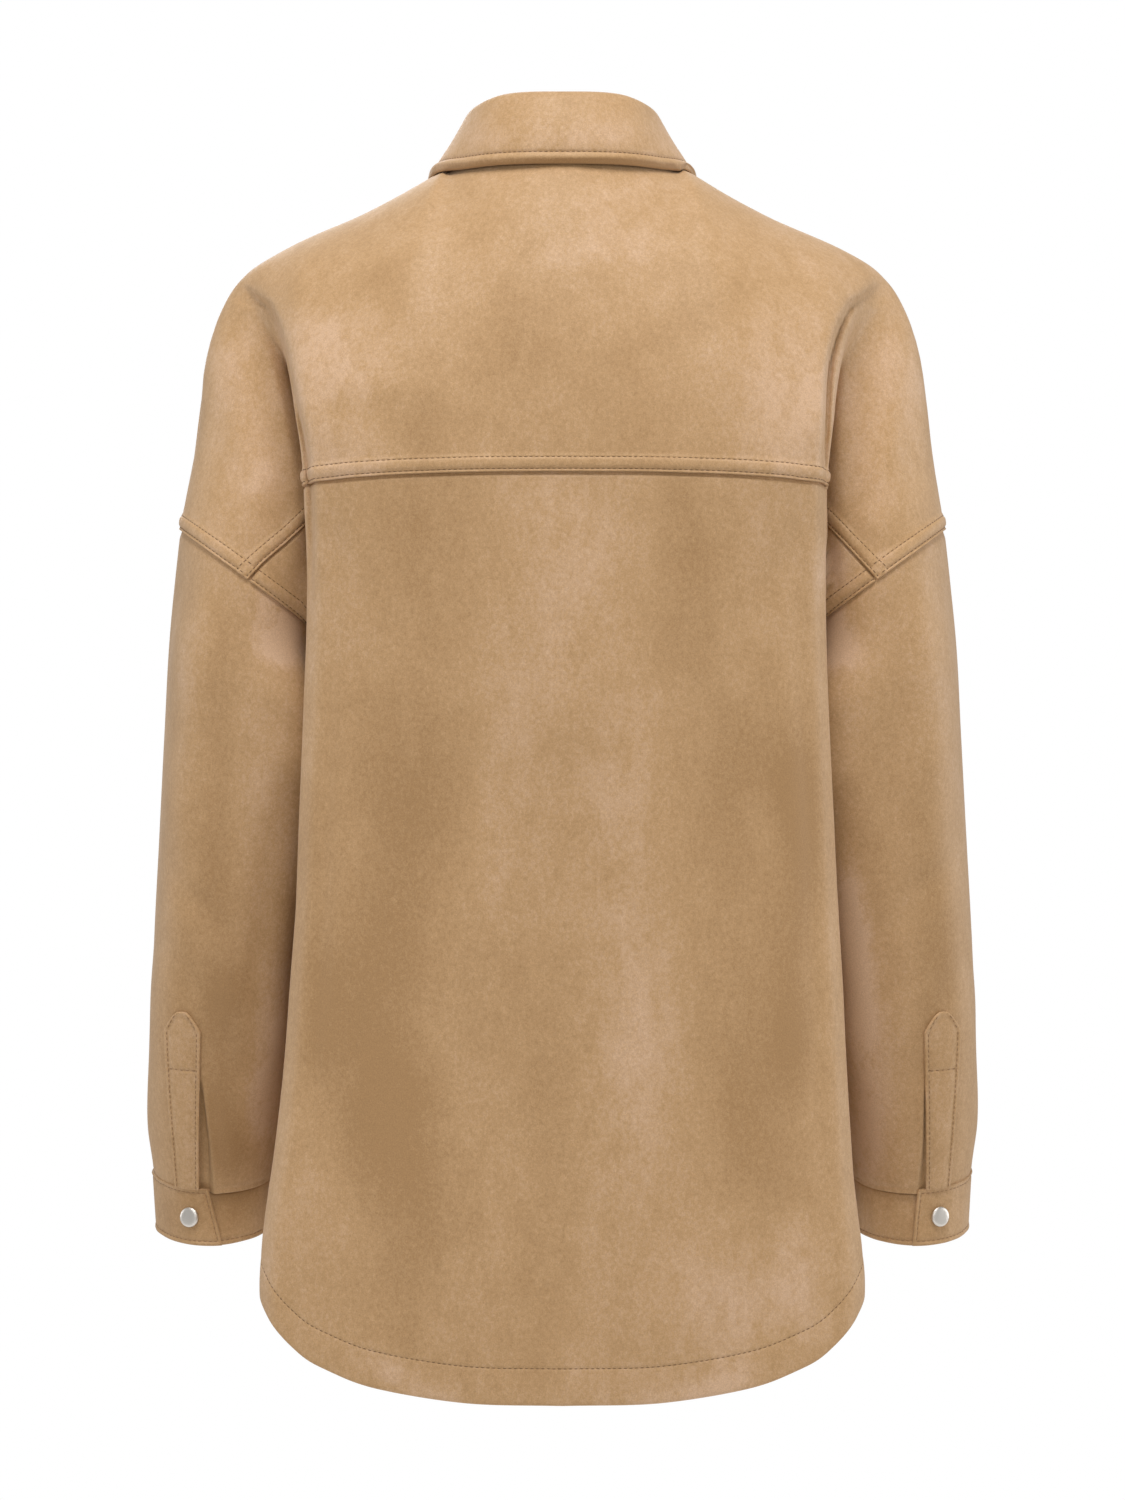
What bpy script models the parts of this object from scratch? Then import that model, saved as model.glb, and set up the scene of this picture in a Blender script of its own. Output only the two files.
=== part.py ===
"""Oversized suede shirt-jacket, hollow and filled out as if worn.

Metres, +Z up. The front faces -Y and the wearer's left is +X. The origin is the middle of the neck opening,
level with the shoulder line where it meets the collar.

Every panel is a wall between an outer and an inner grid of points. The body's grids share one set of
parameters: u runs round the half body from the middle (0) to the armhole and side seam (1), and rows run
from the shoulder seam and neckline down to the hem. Sheets overlap the sleeves in a deep fold at each side.
"""
import math

import bmesh
import bpy
import numpy as np
from mathutils import Vector
from mathutils.bvhtree import BVHTree

CLOTH = 0.002            # body and sleeve wall
BAND_CLOTH = 0.003       # collar, cuffs: two layers with interlining
STRIP_CLOTH = 0.0016     # plackets, sewn on top of a panel
SEAM_GAP = 0.0003        # between neighbours at a seam
LAP_WIDTH = 0.010        # raised band of a lapped seam
LAP_STEP = 0.0015        # where the band runs out into the panel
LAP_RAISE = 0.0010
LAP_FADE = (1, 1, 0.5)   # the armhole's band dies out under the arm, where sleeve and body face each other
HEM_DEPTH = 0.023
NECK_U = 0.22            # u of the corner where neckline and shoulder seam meet
CREASE_U = 0.72          # u of the deepest line of the side fold
FOLD_OUT_U = 0.82        # u where the cloth comes out of the side fold
SEAM_FORWARD = math.radians(-9.4)   # the shoulder seam lies this far in front of the shoulder's crest
# The neck opening: half width, half depth, its middle, its rise at the back and its dip in front.
NECK = {"half_x": 0.067, "half_y": 0.068, "y": -0.010, "rise": 0.010, "dip": 0.062, "side": 0.0024}
NECK_CORNER_REACH = 0.2  # share of u over which the shoulder seam bends to meet the neckline

SNAP_RADIUS = 0.00625
SNAP_HEIGHT = 0.0021
SNAP_SEARCH = 0.01       # how far above the cloth a snap starts when it is lowered onto it
FRONT_STRIP_HALF = 0.016
FRONT_UNDERLAP = 0.013
FRONT_STEP = 0.008       # beside the strip, where the left front comes up from under the right one
RIM_SLANT = np.array([0.55, 0.47, 0.69])   # a direction that no seam follows
FRONT_SNAP_Z = (-0.100, -0.195, -0.290, -0.385, -0.480, -0.575)


def table(columns, *rows):
    """A short table as named columns."""
    return dict(zip(columns.split(), np.array(rows, float).T))


# Shoulder crest, seen from behind: a straight 26 degree slope, then a rounded drop to the armhole.
SHOULDER = table("u x y z",
                 (0.22, 0.0702, -0.0016, -0.0046), (0.31, 0.0982, -0.003, -0.0194), (0.40, 0.1262, -0.004, -0.0325),
                 (0.52, 0.1680, -0.005, -0.0502), (0.60, 0.1900, -0.006, -0.0625),
                 (0.66, 0.1990, -0.007, -0.0700), (0.72, 0.2065, -0.008, -0.0790),
                 (0.77, 0.2122, -0.009, -0.0895), (0.82, 0.2168, -0.009, -0.1010),
                 (0.88, 0.2223, -0.010, -0.1210), (0.93, 0.2266, -0.010, -0.1500),
                 (0.97, 0.2306, -0.010, -0.1830), (1.00, 0.2370, -0.010, -0.2265))

# Where each rib starts on the neckline (angle from the centre back) and how steeply (slope angle).
BACK_NECK = table("u angle start", (0, 0, 40), (0.08, 36, 30), (0.15, 68, 11), (0.22, 100, -9.4))
FRONT_NECK = table("u angle start", (0, 180, 50), (0.08, 152, 40), (0.15, 126, 24), (0.22, 100, 9.4))

# The yoke seam across the back and, in front, the chest line at the same height.
YOKE_SEAM = table("u x y z",
                  (0.00, 0.0000, 0.1250, -0.1957), (0.11, 0.0500, 0.1238, -0.1960),
                  (0.22, 0.0960, 0.1178, -0.1972), (0.33, 0.1220, 0.1105, -0.1987),
                  (0.45, 0.1385, 0.1030, -0.1999), (0.55, 0.1525, 0.0925, -0.2012),
                  (0.60, 0.1570, 0.0800, -0.2023), (0.66, 0.1540, 0.0590, -0.2058),
                  (0.72, 0.1475, 0.0460, -0.2102), (0.77, 0.1520, 0.0425, -0.2150),
                  (0.82, 0.1600, 0.0430, -0.2210), (0.91, 0.1755, 0.0480, -0.2395),
                  (1.00, 0.1925, 0.0520, -0.2590))
CHEST = table("u x y z",
              (0.00, 0.0000, -0.1360, -0.2150), (0.11, 0.0500, -0.1352, -0.2152),
              (0.22, 0.0960, -0.1290, -0.2160), (0.33, 0.1210, -0.1225, -0.2172),
              (0.45, 0.1370, -0.1150, -0.2182), (0.55, 0.1515, -0.1035, -0.2200),
              (0.60, 0.1550, -0.0945, -0.2215), (0.66, 0.1525, -0.0795, -0.2245),
              (0.72, 0.1480, -0.0665, -0.2280), (0.77, 0.1520, -0.0635, -0.2320),
              (0.82, 0.1600, -0.0645, -0.2365), (0.91, 0.1755, -0.0690, -0.2480),
              (1.00, 0.1925, -0.0720, -0.2590))

# How much a rib swings in under the side fold on its way down.
FOLD_SWING = table("u swing", (0, 0), (0.40, 0), (0.60, 1), (0.72, 1), (0.85, 0.4), (1, 0))
NECK_SPLAY = table("u splay", (0, 1), (0.22, 1), (0.45, 0), (1, 0))   # ribs leave the neck straight outwards

# Torso sections below the underarm: half widths at the fold's edge and at the side seam, and depths.
TORSO = table("z back_edge side front_edge back_y back_edge_y side_y front_edge_y front_y",
              (-0.2915, 0.1595, 0.1480, 0.1565, 0.1240, 0.080, -0.010, -0.096, -0.1360),
              (-0.3300, 0.1610, 0.1425, 0.1570, 0.1225, 0.079, -0.012, -0.097, -0.1345),
              (-0.4000, 0.1640, 0.1425, 0.1600, 0.1200, 0.077, -0.015, -0.097, -0.1310),
              (-0.4900, 0.1675, 0.1455, 0.1635, 0.1185, 0.074, -0.020, -0.096, -0.1270),
              (-0.5600, 0.1710, 0.1500, 0.1670, 0.1180, 0.072, -0.025, -0.095, -0.1260),
              (-0.6200, 0.1765, 0.1580, 0.1720, 0.1185, 0.070, -0.028, -0.094, -0.1265),
              (-0.6600, 0.1825, 0.1665, 0.1765, 0.1190, 0.069, -0.028, -0.093, -0.1280),
              (-0.7200, 0.1850, 0.1720, 0.1785, 0.1195, 0.066, -0.026, -0.092, -0.1295),
              (-0.7800, 0.1860, 0.1750, 0.1800, 0.1190, 0.064, -0.025, -0.090, -0.1310))
# Each station of a torso section as shares of those sizes.
SECTION = table("u edge_x side_x mid_y side_y",
                (0.00, 0.000, 0.000, 1.000, 0.00), (0.11, 0.310, 0.000, 0.975, 0.00),
                (0.22, 0.602, 0.000, 0.860, 0.00), (0.33, 0.765, 0.000, 0.690, 0.00),
                (0.45, 0.875, 0.000, 0.520, 0.00), (0.55, 0.970, 0.000, 0.285, 0.00),
                (0.60, 1.000, 0.000, 0.00, 0.00), (0.66, 0.740, 0.260, 0.00, 0.22),
                (0.72, 0.160, 0.840, 0.00, 0.42), (0.77, 0.000, 0.995, 0.00, 0.53),
                (0.82, 0.000, 0.992, 0.00, 0.66), (0.91, 0.000, 0.995, 0.00, 0.83),
                (1.00, 0.000, 1.000, 0.00, 1.00))
# Height of the underarm row: it leaves the armhole's lowest point downwards, between armhole and side seam.
UNDERARM = table("u z", (0.00, -0.330), (0.60, -0.330), (0.77, -0.330), (0.82, -0.3265), (0.91, -0.3120),
                 (1.00, -0.2915))
# Shirt-tail hem.
HEM = table("u back front",
            (0.00, -0.7580, -0.7350), (0.11, -0.7566, -0.7332), (0.22, -0.7485, -0.7265),
            (0.33, -0.7385, -0.7175), (0.45, -0.7270, -0.7090), (0.55, -0.7080, -0.6950),
            (0.60, -0.6965, -0.6855), (0.66, -0.6835, -0.6765), (0.72, -0.6730, -0.6690),
            (0.82, -0.6625, -0.6610), (0.91, -0.6568, -0.6565), (1.00, -0.6550, -0.6550))

# Armhole: an ellipse tilted 36 degrees, outer side up.
ARMHOLE = {"x": 0.1925, "y": -0.010, "z": -0.2590, "half_x": 0.0445, "half_y": 0.0620, "tilt": 0.0325}

# Sleeve sections from the armhole to the cuff. pitch lowers the back of a section: the forearm swings forward.
SLEEVE = table("z outer_x half_x y half_y tilt pitch",
               (-0.2590, 0.2370, 0.0445, -0.0100, 0.0620, 0.0325, 0.0000),
               (-0.3100, 0.2440, 0.0475, -0.0105, 0.0630, 0.0200, -0.0010),
               (-0.3600, 0.2472, 0.0498, -0.0120, 0.0620, 0.0090, -0.0020),
               (-0.4200, 0.2508, 0.0485, -0.0150, 0.0590, 0.0020, -0.0035),
               (-0.4900, 0.2548, 0.0445, -0.0210, 0.0550, 0.0000, -0.0055),
               (-0.5500, 0.2568, 0.0430, -0.0290, 0.0510, 0.0000, -0.0075),
               (-0.5950, 0.2576, 0.0410, -0.0360, 0.0470, 0.0000, -0.0090),
               (-0.6257, 0.2556, 0.0370, -0.0430, 0.0425, 0.0000, -0.0100))
SLEEVE_ROWS = (0, 0.03, 0.10, 0.20, 0.32, 0.45, 0.58, 0.71, 0.83, 0.93, 1.0)

CUFF_HEIGHT = 0.0345
CUFF_EASE = 0.0006       # the band stands this far outside the sleeve's end
CUFF_TAPER = 0.05        # share by which a cuff narrows to its lower edge
CUFF_UNDERLAP = 40       # degrees that the band runs on under its flap
CUFF_STEP = 60           # degrees over which it steps in under the flap
CUFF_STEP_START = 290    # degrees of turn where the step begins
CUFF_SLANT_REACH = 90    # degrees from the flap's end over which its slant dies out
# The flap's end, on the back of the wrist, towards the body: section angle at its top, and its slant downwards.
CUFF_FLAP = table("side angle slant", (1, 87, 14), (-1, 86, 5))
# Tower placket on the sleeve's back, outer side: its middle line and half width by height.
PLACKET = table("z angle half", (-0.5175, 62.5, 0.0112), (-0.5700, 64.5, 0.0102), (-0.6257, 68.0, 0.0088))
PLACKET_SHOULDER_Z = -0.5300
PLACKET_TIP = 0.12       # half width of the point, as a share
FOREARM_RADIUS = 0.046

# Collar: top of the stand, and the leaf's lower edge in plan with its height, by angle from the centre back.
STAND_TOP = table("angle x y z", (-180, 0.0000, -0.0790, -0.0370), (-135, -0.0390, -0.0560, -0.0110),
                  (-90, -0.0525, -0.0105, 0.0165), (-45, -0.0365, 0.0380, 0.0285), (0, 0.0000, 0.0515, 0.0300),
                  (45, 0.0365, 0.0380, 0.0285), (90, 0.0525, -0.0105, 0.0165),
                  (135, 0.0390, -0.0560, -0.0110), (180, 0.0000, -0.0790, -0.0370))
LEAF_EDGE = table("angle x y z",
                  (0, 0.0000, 0.0712, -0.0065), (15, 0.0190, 0.0698, -0.0065), (30, 0.0365, 0.0628, -0.0066),
                  (55, 0.0600, 0.0412, -0.0074), (80, 0.0785, 0.0080, -0.0076), (92, 0.0820, -0.0120, -0.0104),
                  (105, 0.0838, -0.0340, -0.0165), (120, 0.0825, -0.0570, -0.0258), (135, 0.0785, -0.0785, -0.0438),
                  (155, 0.0655, -0.1025, -0.0820), (170, 0.0490, -0.1140, -0.1075))
LEAF_ROLL = table("out up", (0.0000, 0.0004), (0.0008, 0.0035), (0.0035, 0.0060), (0.0068, 0.0050))
LEAF_FRONT_ANGLE = 170
LEAF_ROWS = (0.2, 0.4, 0.6, 0.75, 0.88, 1.0)
LEAF_CLEARANCE = (0.0026, 0.0030)   # over the yoke, and in front of the shoulder seam
LEAF_BULGE = (0.0035, 0.0045)   # at the centre back and front, and how much less at the sides
LEAF_REACH = 0.02        # the leaf is kept off body cloth that is nearer than this

COLUMNS_NECK = (0, 0.045, 0.09, 0.13, 0.165, 0.195, NECK_U)
COLUMNS_INNER = COLUMNS_NECK + (0.33, 0.44, 0.51, 0.56, 0.60, 0.64, 0.68, 0.70, CREASE_U, 0.74, 0.77,
                                 FOLD_OUT_U)
CREASE_COLUMNS = (0.68, 0.70, CREASE_U, 0.74, 0.77)   # deep in the fold the yoke's band lies flat
COLUMNS_OUTER = (0.35, 0.70)      # shares of the way from the fold to the armhole's band
YOKE_ROWS = (0, 0.10, 0.22, 0.36, 0.52, 0.68, 0.85)
FRONT_ROWS = (0, 0.10, 0.22, 0.36, 0.52, 0.68, 0.84, 1)
UNDERARM_ROWS = (0.25, 0.5, 0.75, 1)
TORSO_ROWS = (0.10, 0.25, 0.42, 0.60, 0.80)


def smooth(knots, values, at):
    """A smooth curve through a table's rows: cubic pieces with the neighbours' mean slopes."""
    values = np.asarray(values, float)
    at = np.asarray(at, float)
    slopes = np.gradient(values, knots, axis=0)
    i = np.clip(np.searchsorted(knots, at, side="right") - 1, 0, len(knots) - 2)
    step = knots[i + 1] - knots[i]
    t = (at - knots[i]) / step
    if values.ndim > 1:
        t, step = t[..., None], step[..., None]
    return ((1 + 2 * t) * (1 - t) ** 2 * values[i] + t * (1 - t) ** 2 * step * slopes[i]
            + t ** 2 * (3 - 2 * t) * values[i + 1] - t ** 2 * (1 - t) * step * slopes[i + 1])


def points(rows, at, key="u"):
    return smooth(rows[key], np.stack([rows["x"], rows["y"], rows["z"]], axis=-1), at)


def ease(t):
    t = np.clip(t, 0, 1)
    return t * t * (3 - 2 * t)


def neckline(angle):
    """The neck opening's ring, by degrees from the centre back towards the wearer's left."""
    a = np.radians(angle)
    forward = np.maximum(-np.cos(a), 0)
    z = NECK["rise"] * np.maximum(np.cos(a), 0) - NECK["dip"] * forward ** 1.8 - NECK["side"] * np.sin(a) ** 2
    return np.stack([NECK["half_x"] * np.sin(a), NECK["y"] + NECK["half_y"] * np.cos(a), z], axis=-1)


def armhole(angle):
    """The armhole's ring, by degrees from its top round the back."""
    a = np.radians(angle)
    return np.stack([ARMHOLE["x"] + ARMHOLE["half_x"] * np.cos(a),
                     ARMHOLE["y"] + ARMHOLE["half_y"] * np.sin(a),
                     ARMHOLE["z"] + ARMHOLE["tilt"] * np.cos(a)], axis=-1)


def bend(angle, swing, splay):
    """Shares of the way from crest to seam in x, y and z at a rib's slope angle (radians)."""
    rise = 1 - np.cos(angle)
    across = rise + (np.sin(angle) ** 2 - rise) * swing + (np.sin(angle) - rise) * splay
    return np.stack([across, np.sin(angle), rise], axis=-1)


def crest_through(start, end, share):
    return (start - end * share) / (1 - share)


def at_lengths(curve, lengths):
    """Points of a polyline (n, 3) at the given lengths along it."""
    run = np.concatenate([[0], np.cumsum(np.linalg.norm(np.diff(curve, axis=0), axis=1))])
    return np.stack([np.interp(lengths, run, curve[:, k]) for k in range(3)], axis=-1)


def length_of(curve):
    return np.linalg.norm(np.diff(curve, axis=0), axis=1).sum()


def rib_ends(front, u):
    """Crest, seam point and start angle of the ribs at each u of one sheet."""
    seam = points(CHEST if front else YOKE_SEAM, u)
    swing = np.interp(u, FOLD_SWING["u"], FOLD_SWING["swing"])
    splay = np.interp(u, NECK_SPLAY["u"], NECK_SPLAY["splay"])
    # Shoulder seam: on the back's rib, in front of the crest.
    outer = np.maximum(u, NECK_U)
    crest = points(SHOULDER, outer)
    shoulder_seam = crest + (points(YOKE_SEAM, outer) - crest) * bend(np.full_like(u, SEAM_FORWARD), swing, splay)
    neck = FRONT_NECK if front else BACK_NECK
    at_neck = u < NECK_U
    angle = np.where(at_neck, smooth(neck["u"], neck["angle"], np.minimum(u, NECK_U)), 100)
    start_angle = np.radians(smooth(neck["u"], neck["start"], np.minimum(u, NECK_U)))
    # What is left between neckline and shoulder seam at their corner is eased out over the shoulder.
    corner = neckline(angle[-1]) - shoulder_seam[0]
    shoulder_seam = shoulder_seam + corner * (1 - ease((u - NECK_U) / NECK_CORNER_REACH))[:, None]
    start = np.where(at_neck[:, None], neckline(angle), shoulder_seam)
    return start, seam, start_angle, swing, splay


def shoulder_rows(front, u, shares, lap):
    """Rows from the neckline or shoulder seam to the yoke seam or chest line, as (rows, u, 3)."""
    start, seam, start_angle, swing, splay = rib_ends(front, u)
    out = []
    for k in range(len(u)):
        angle = np.linspace(start_angle[k], math.pi / 2, 81)
        share = bend(angle, swing[k], splay[k])
        crest = crest_through(start[k], seam[k], share[0])
        rib = crest + (seam[k] - crest) * share
        whole = length_of(rib)
        stops = np.array(shares) * (whole - lap)
        if lap:
            stops = np.concatenate([stops, [whole - lap, whole - LAP_WIDTH, whole]])
        out.append(at_lengths(rib, stops))
    return np.array(out).transpose(1, 0, 2)


def torso_points(front, u, z):
    """Points of the torso below the underarm, u and z of one shape."""
    def size(name):
        return smooth(TORSO["z"][::-1], TORSO[name][::-1], z)

    def share(name):
        return smooth(SECTION["u"], SECTION[name], u)

    which = "front" if front else "back"
    mid_y, side_y = share("mid_y"), share("side_y")
    x = share("edge_x") * size(which + "_edge") + share("side_x") * size("side")
    y = (mid_y * size(which + "_y") + (1 - mid_y - side_y) * size(which + "_edge_y")
         + side_y * size("side_y"))
    return np.stack([x, y, z], axis=-1)


def underarm_rows(front, u, shares):
    """Rows from the yoke seam or chest line to the underarm, following the armhole at u = 1."""
    top = points(CHEST if front else YOKE_SEAM, u)
    bottom = torso_points(front, u, smooth(UNDERARM["u"], UNDERARM["z"], u))
    follow = np.clip((u - CREASE_U) / (1 - CREASE_U), 0, 1)[:, None]
    out = []
    for share in shares:
        row = top + (bottom - top) * share
        turn = 90 + 90 * share
        ring = armhole(-turn if front else turn)
        out.append(row + follow * (ring - row[-1]))
    return np.array(out)


def torso_rows(front, u, shares):
    hem = smooth(HEM["u"], HEM["front" if front else "back"], u)
    top = smooth(UNDERARM["u"], UNDERARM["z"], u)
    levels = [top + (hem + HEM_DEPTH - top) * share for share in shares]
    levels += [hem + HEM_DEPTH, hem]
    return np.array([torso_points(front, u, z) for z in levels])


def pick_columns(row, u):
    """One row's points at the sheet's columns: fixed u near the middle, then by length to the seam."""
    inner = np.stack([np.interp(COLUMNS_INNER, u, row[:, k]) for k in range(3)], axis=-1)
    outer = row[np.searchsorted(u, FOLD_OUT_U):]
    whole = length_of(outer)
    band = min(LAP_WIDTH + LAP_STEP, 0.6 * whole)
    flat = band * LAP_WIDTH / (LAP_WIDTH + LAP_STEP)
    stops = np.concatenate([np.array(COLUMNS_OUTER) * (whole - band), [whole - band, whole - flat, whole]])
    return np.concatenate([inner, at_lengths(outer, stops)])


def half_sheet(front):
    """The half body's grid on the wearer's left, (rows, columns, 3), and the row numbers of its seams."""
    u = np.round(np.arange(0, 1.0001, 0.005), 4)
    rows = shoulder_rows(front, u, FRONT_ROWS if front else YOKE_ROWS, 0 if front else LAP_WIDTH + LAP_STEP)
    seam_row = len(rows) - 1
    under = underarm_rows(front, u, UNDERARM_ROWS)
    rows = np.concatenate([rows, under, torso_rows(front, u, TORSO_ROWS)])
    return np.array([pick_columns(row, u) for row in rows]), seam_row, seam_row + len(under)


def mirrored(grid):
    """The whole width from a half sheet, from the wearer's right to the left."""
    other = grid[:, :0:-1] * (-1, 1, 1)
    return np.concatenate([other, grid], axis=1)


def grid_normals(grid, wrap=False):
    """Unit normals at a grid's points, from the faces round each."""
    if wrap:
        grid = np.concatenate([grid[:, -1:], grid, grid[:, :1]], axis=1)
    face = np.cross(grid[1:, 1:] - grid[:-1, :-1], grid[1:, :-1] - grid[:-1, 1:])
    total = np.zeros_like(grid)
    for rows in (slice(None, -1), slice(1, None)):
        for columns in (slice(None, -1), slice(1, None)):
            total[rows, columns] += face
    if wrap:
        total = total[:, 1:-1]
    return total / np.linalg.norm(total, axis=-1, keepdims=True)


def outward(normals, grid, centre):
    """The normals, turned so that most point away from a centre line."""
    return normals * np.sign(np.sum(normals * (grid - centre)))


def share_normals(first, second):
    """Mean normals where two panels meet smoothly; each keeps its own where they meet back to back."""
    mean = first + second
    mean /= np.linalg.norm(mean, axis=-1, keepdims=True)
    meets = np.sum(first * second, axis=-1, keepdims=True) > 0.2
    return np.where(meets, mean, first), np.where(meets, mean, second)


def pull_in(grid, edges, gap=SEAM_GAP / 2):
    """The grid with the named edges drawn in by half a seam gap."""
    grid = grid.copy()
    sides = {"top": (np.s_[0], np.s_[1]), "bottom": (np.s_[-1], np.s_[-2]),
             "start": (np.s_[:, 0], np.s_[:, 1]), "end": (np.s_[:, -1], np.s_[:, -2])}
    for edge in edges.split():
        at, inner = sides[edge]
        way = grid[inner] - grid[at]
        grid[at] += gap * way / np.linalg.norm(way, axis=-1, keepdims=True)
    return grid


def material(name, colour, roughness, metallic=0.0):
    made = bpy.data.materials.new(name)
    made.use_nodes = True
    shader = made.node_tree.nodes["Principled BSDF"]
    shader.inputs["Base Color"].default_value = (*colour, 1)
    shader.inputs["Roughness"].default_value = roughness
    shader.inputs["Metallic"].default_value = metallic
    return made


def wall(name, outer, inner, finish, wrap=False):
    """One closed wall between an outer and an inner grid, joined by rims at its free edges."""
    rows, columns = outer.shape[:2]
    number = np.arange(2 * rows * columns).reshape(2, rows, columns)
    if wrap:
        number = np.concatenate([number, number[:, :, :1]], axis=2)

    def quads(a):
        return np.stack([a[:-1, :-1], a[:-1, 1:], a[1:, 1:], a[1:, :-1]], axis=-1).reshape(-1, 4)

    spots = np.concatenate([outer.reshape(-1, 3), inner.reshape(-1, 3)])

    def rim(edge):
        """Two triangles for each step of a rim, cut the same way on both sides of a seam."""
        a, b, c, d = edge[0, :-1], edge[0, 1:], edge[1, 1:], edge[1, :-1]
        slant = np.abs(spots) @ RIM_SLANT
        first = (slant[a] > slant[b])[:, None]
        one = np.where(first, np.stack([a, b, c], axis=-1), np.stack([a, b, d], axis=-1))
        two = np.where(first, np.stack([a, c, d], axis=-1), np.stack([b, c, d], axis=-1))
        return np.concatenate([one, two]).tolist()

    faces = quads(number[0]).tolist() + quads(number[1])[:, ::-1].tolist() + rim(number[:, 0]) + rim(number[:, -1])
    if not wrap:
        faces += rim(number[:, :, 0]) + rim(number[:, :, -1])
    mesh = bpy.data.meshes.new(name)
    mesh.from_pydata(spots.tolist(), [], faces)
    shaped = bmesh.new()
    shaped.from_mesh(mesh)
    bmesh.ops.recalc_face_normals(shaped, faces=shaped.faces)
    if shaped.calc_volume(signed=True) < 0:
        bmesh.ops.reverse_faces(shaped, faces=shaped.faces)
    shaped.to_mesh(mesh)
    shaped.free()
    mesh.shade_smooth()
    mesh.set_sharp_from_angle(angle=math.radians(50))
    mesh.materials.append(finish)
    made = bpy.data.objects.new(name, mesh)
    parts.objects.link(made)
    return made


def lap_relief(rows_from_seam, columns_from_seam):
    """Height of the raised bands: full from the seam over the band's width, gone one step further."""
    return LAP_RAISE * np.maximum(rows_from_seam, columns_from_seam)


def body():
    """Yoke, back panel and the two fronts; returns the grids that other pieces lie on."""
    back_half, yoke_row, back_arm_row = half_sheet(False)
    front_half, chest_row, front_arm_row = half_sheet(True)
    back, front = mirrored(back_half), mirrored(front_half)
    back_n = outward(grid_normals(back), back, (0, 0, -0.35))
    front_n = outward(grid_normals(front), front, (0, 0, -0.35))
    neck = len(COLUMNS_INNER[:COLUMNS_INNER.index(NECK_U) + 1]) - 1
    middle = back_half.shape[1] - 1
    for side in (slice(0, middle - neck + 1), slice(middle + neck, None)):
        back_n[0, side], front_n[0, side] = share_normals(back_n[0, side], front_n[0, side])
    for edge in (0, -1):
        back_n[back_arm_row:, edge], front_n[front_arm_row:, edge] = share_normals(
            back_n[back_arm_row:, edge], front_n[front_arm_row:, edge])
    return {"back": back, "back_n": back_n, "front": front, "front_n": front_n, "middle": middle,
            "yoke_row": yoke_row, "chest_row": chest_row, "back_arm_row": back_arm_row,
            "front_arm_row": front_arm_row}


def armhole_loop(sheets):
    """Ring positions of the left armhole: down the back and up the front, with the body's normals there."""
    back, front = sheets["back"], sheets["front"]
    down = slice(0, sheets["back_arm_row"] + 1)
    up = slice(sheets["front_arm_row"] - 1, 0, -1)
    ring = np.concatenate([back[down, -1], front[up, -1]])
    normals = np.concatenate([sheets["back_n"][down, -1], sheets["front_n"][up, -1]])
    return ring, normals


def sleeve_section(angle, share):
    """Points of the left sleeve by section angle and share of its length."""
    z = SLEEVE["z"][0] + (SLEEVE["z"][-1] - SLEEVE["z"][0]) * share

    def size(name):
        return smooth(SLEEVE["z"][::-1], SLEEVE[name][::-1], z)

    a = np.radians(angle)
    x = size("outer_x") - size("half_x") + size("half_x") * np.cos(a)
    y = size("y") + size("half_y") * np.sin(a)
    return np.stack([x, y, z + size("tilt") * np.cos(a) + size("pitch") * np.sin(a)], axis=-1)


def sleeve_share(z):
    return (z - SLEEVE["z"][0]) / (SLEEVE["z"][-1] - SLEEVE["z"][0])


def armhole_angles(ring):
    return np.degrees(np.arctan2((ring[:, 1] - ARMHOLE["y"]) / ARMHOLE["half_y"],
                                 (ring[:, 0] - ARMHOLE["x"]) / ARMHOLE["half_x"]))


def sleeve_grid(sheets):
    """The left sleeve's outer grid and normals, and the body's shared normals at the armhole."""
    ring, body_n = armhole_loop(sheets)
    angle = armhole_angles(ring)
    share = np.array(SLEEVE_ROWS)[:, None]
    grid = sleeve_section(angle[None, :] + 0 * share, share + 0 * angle)
    grid[0] = ring
    normals = outward(grid_normals(grid, wrap=True), grid, grid.mean(axis=1, keepdims=True))
    body_n, normals[0] = share_normals(body_n, normals[0])
    return grid, normals, body_n


def put_back_normals(sheets, body_n):
    """The armhole's shared normals, back on the body's sheets at both sides."""
    count = sheets["back_arm_row"] + 1
    up = slice(sheets["front_arm_row"] - 1, 0, -1)
    for edge, flip in ((-1, 1), (0, -1)):
        sheets["back_n"][:count, edge] = body_n[:count] * (flip, 1, 1)
        sheets["front_n"][up, edge] = body_n[count:] * (flip, 1, 1)
        sheets["front_n"][0, edge] = body_n[0] * (flip, 1, 1)
        sheets["front_n"][sheets["front_arm_row"], edge] = sheets["back_n"][sheets["back_arm_row"], edge]


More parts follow.
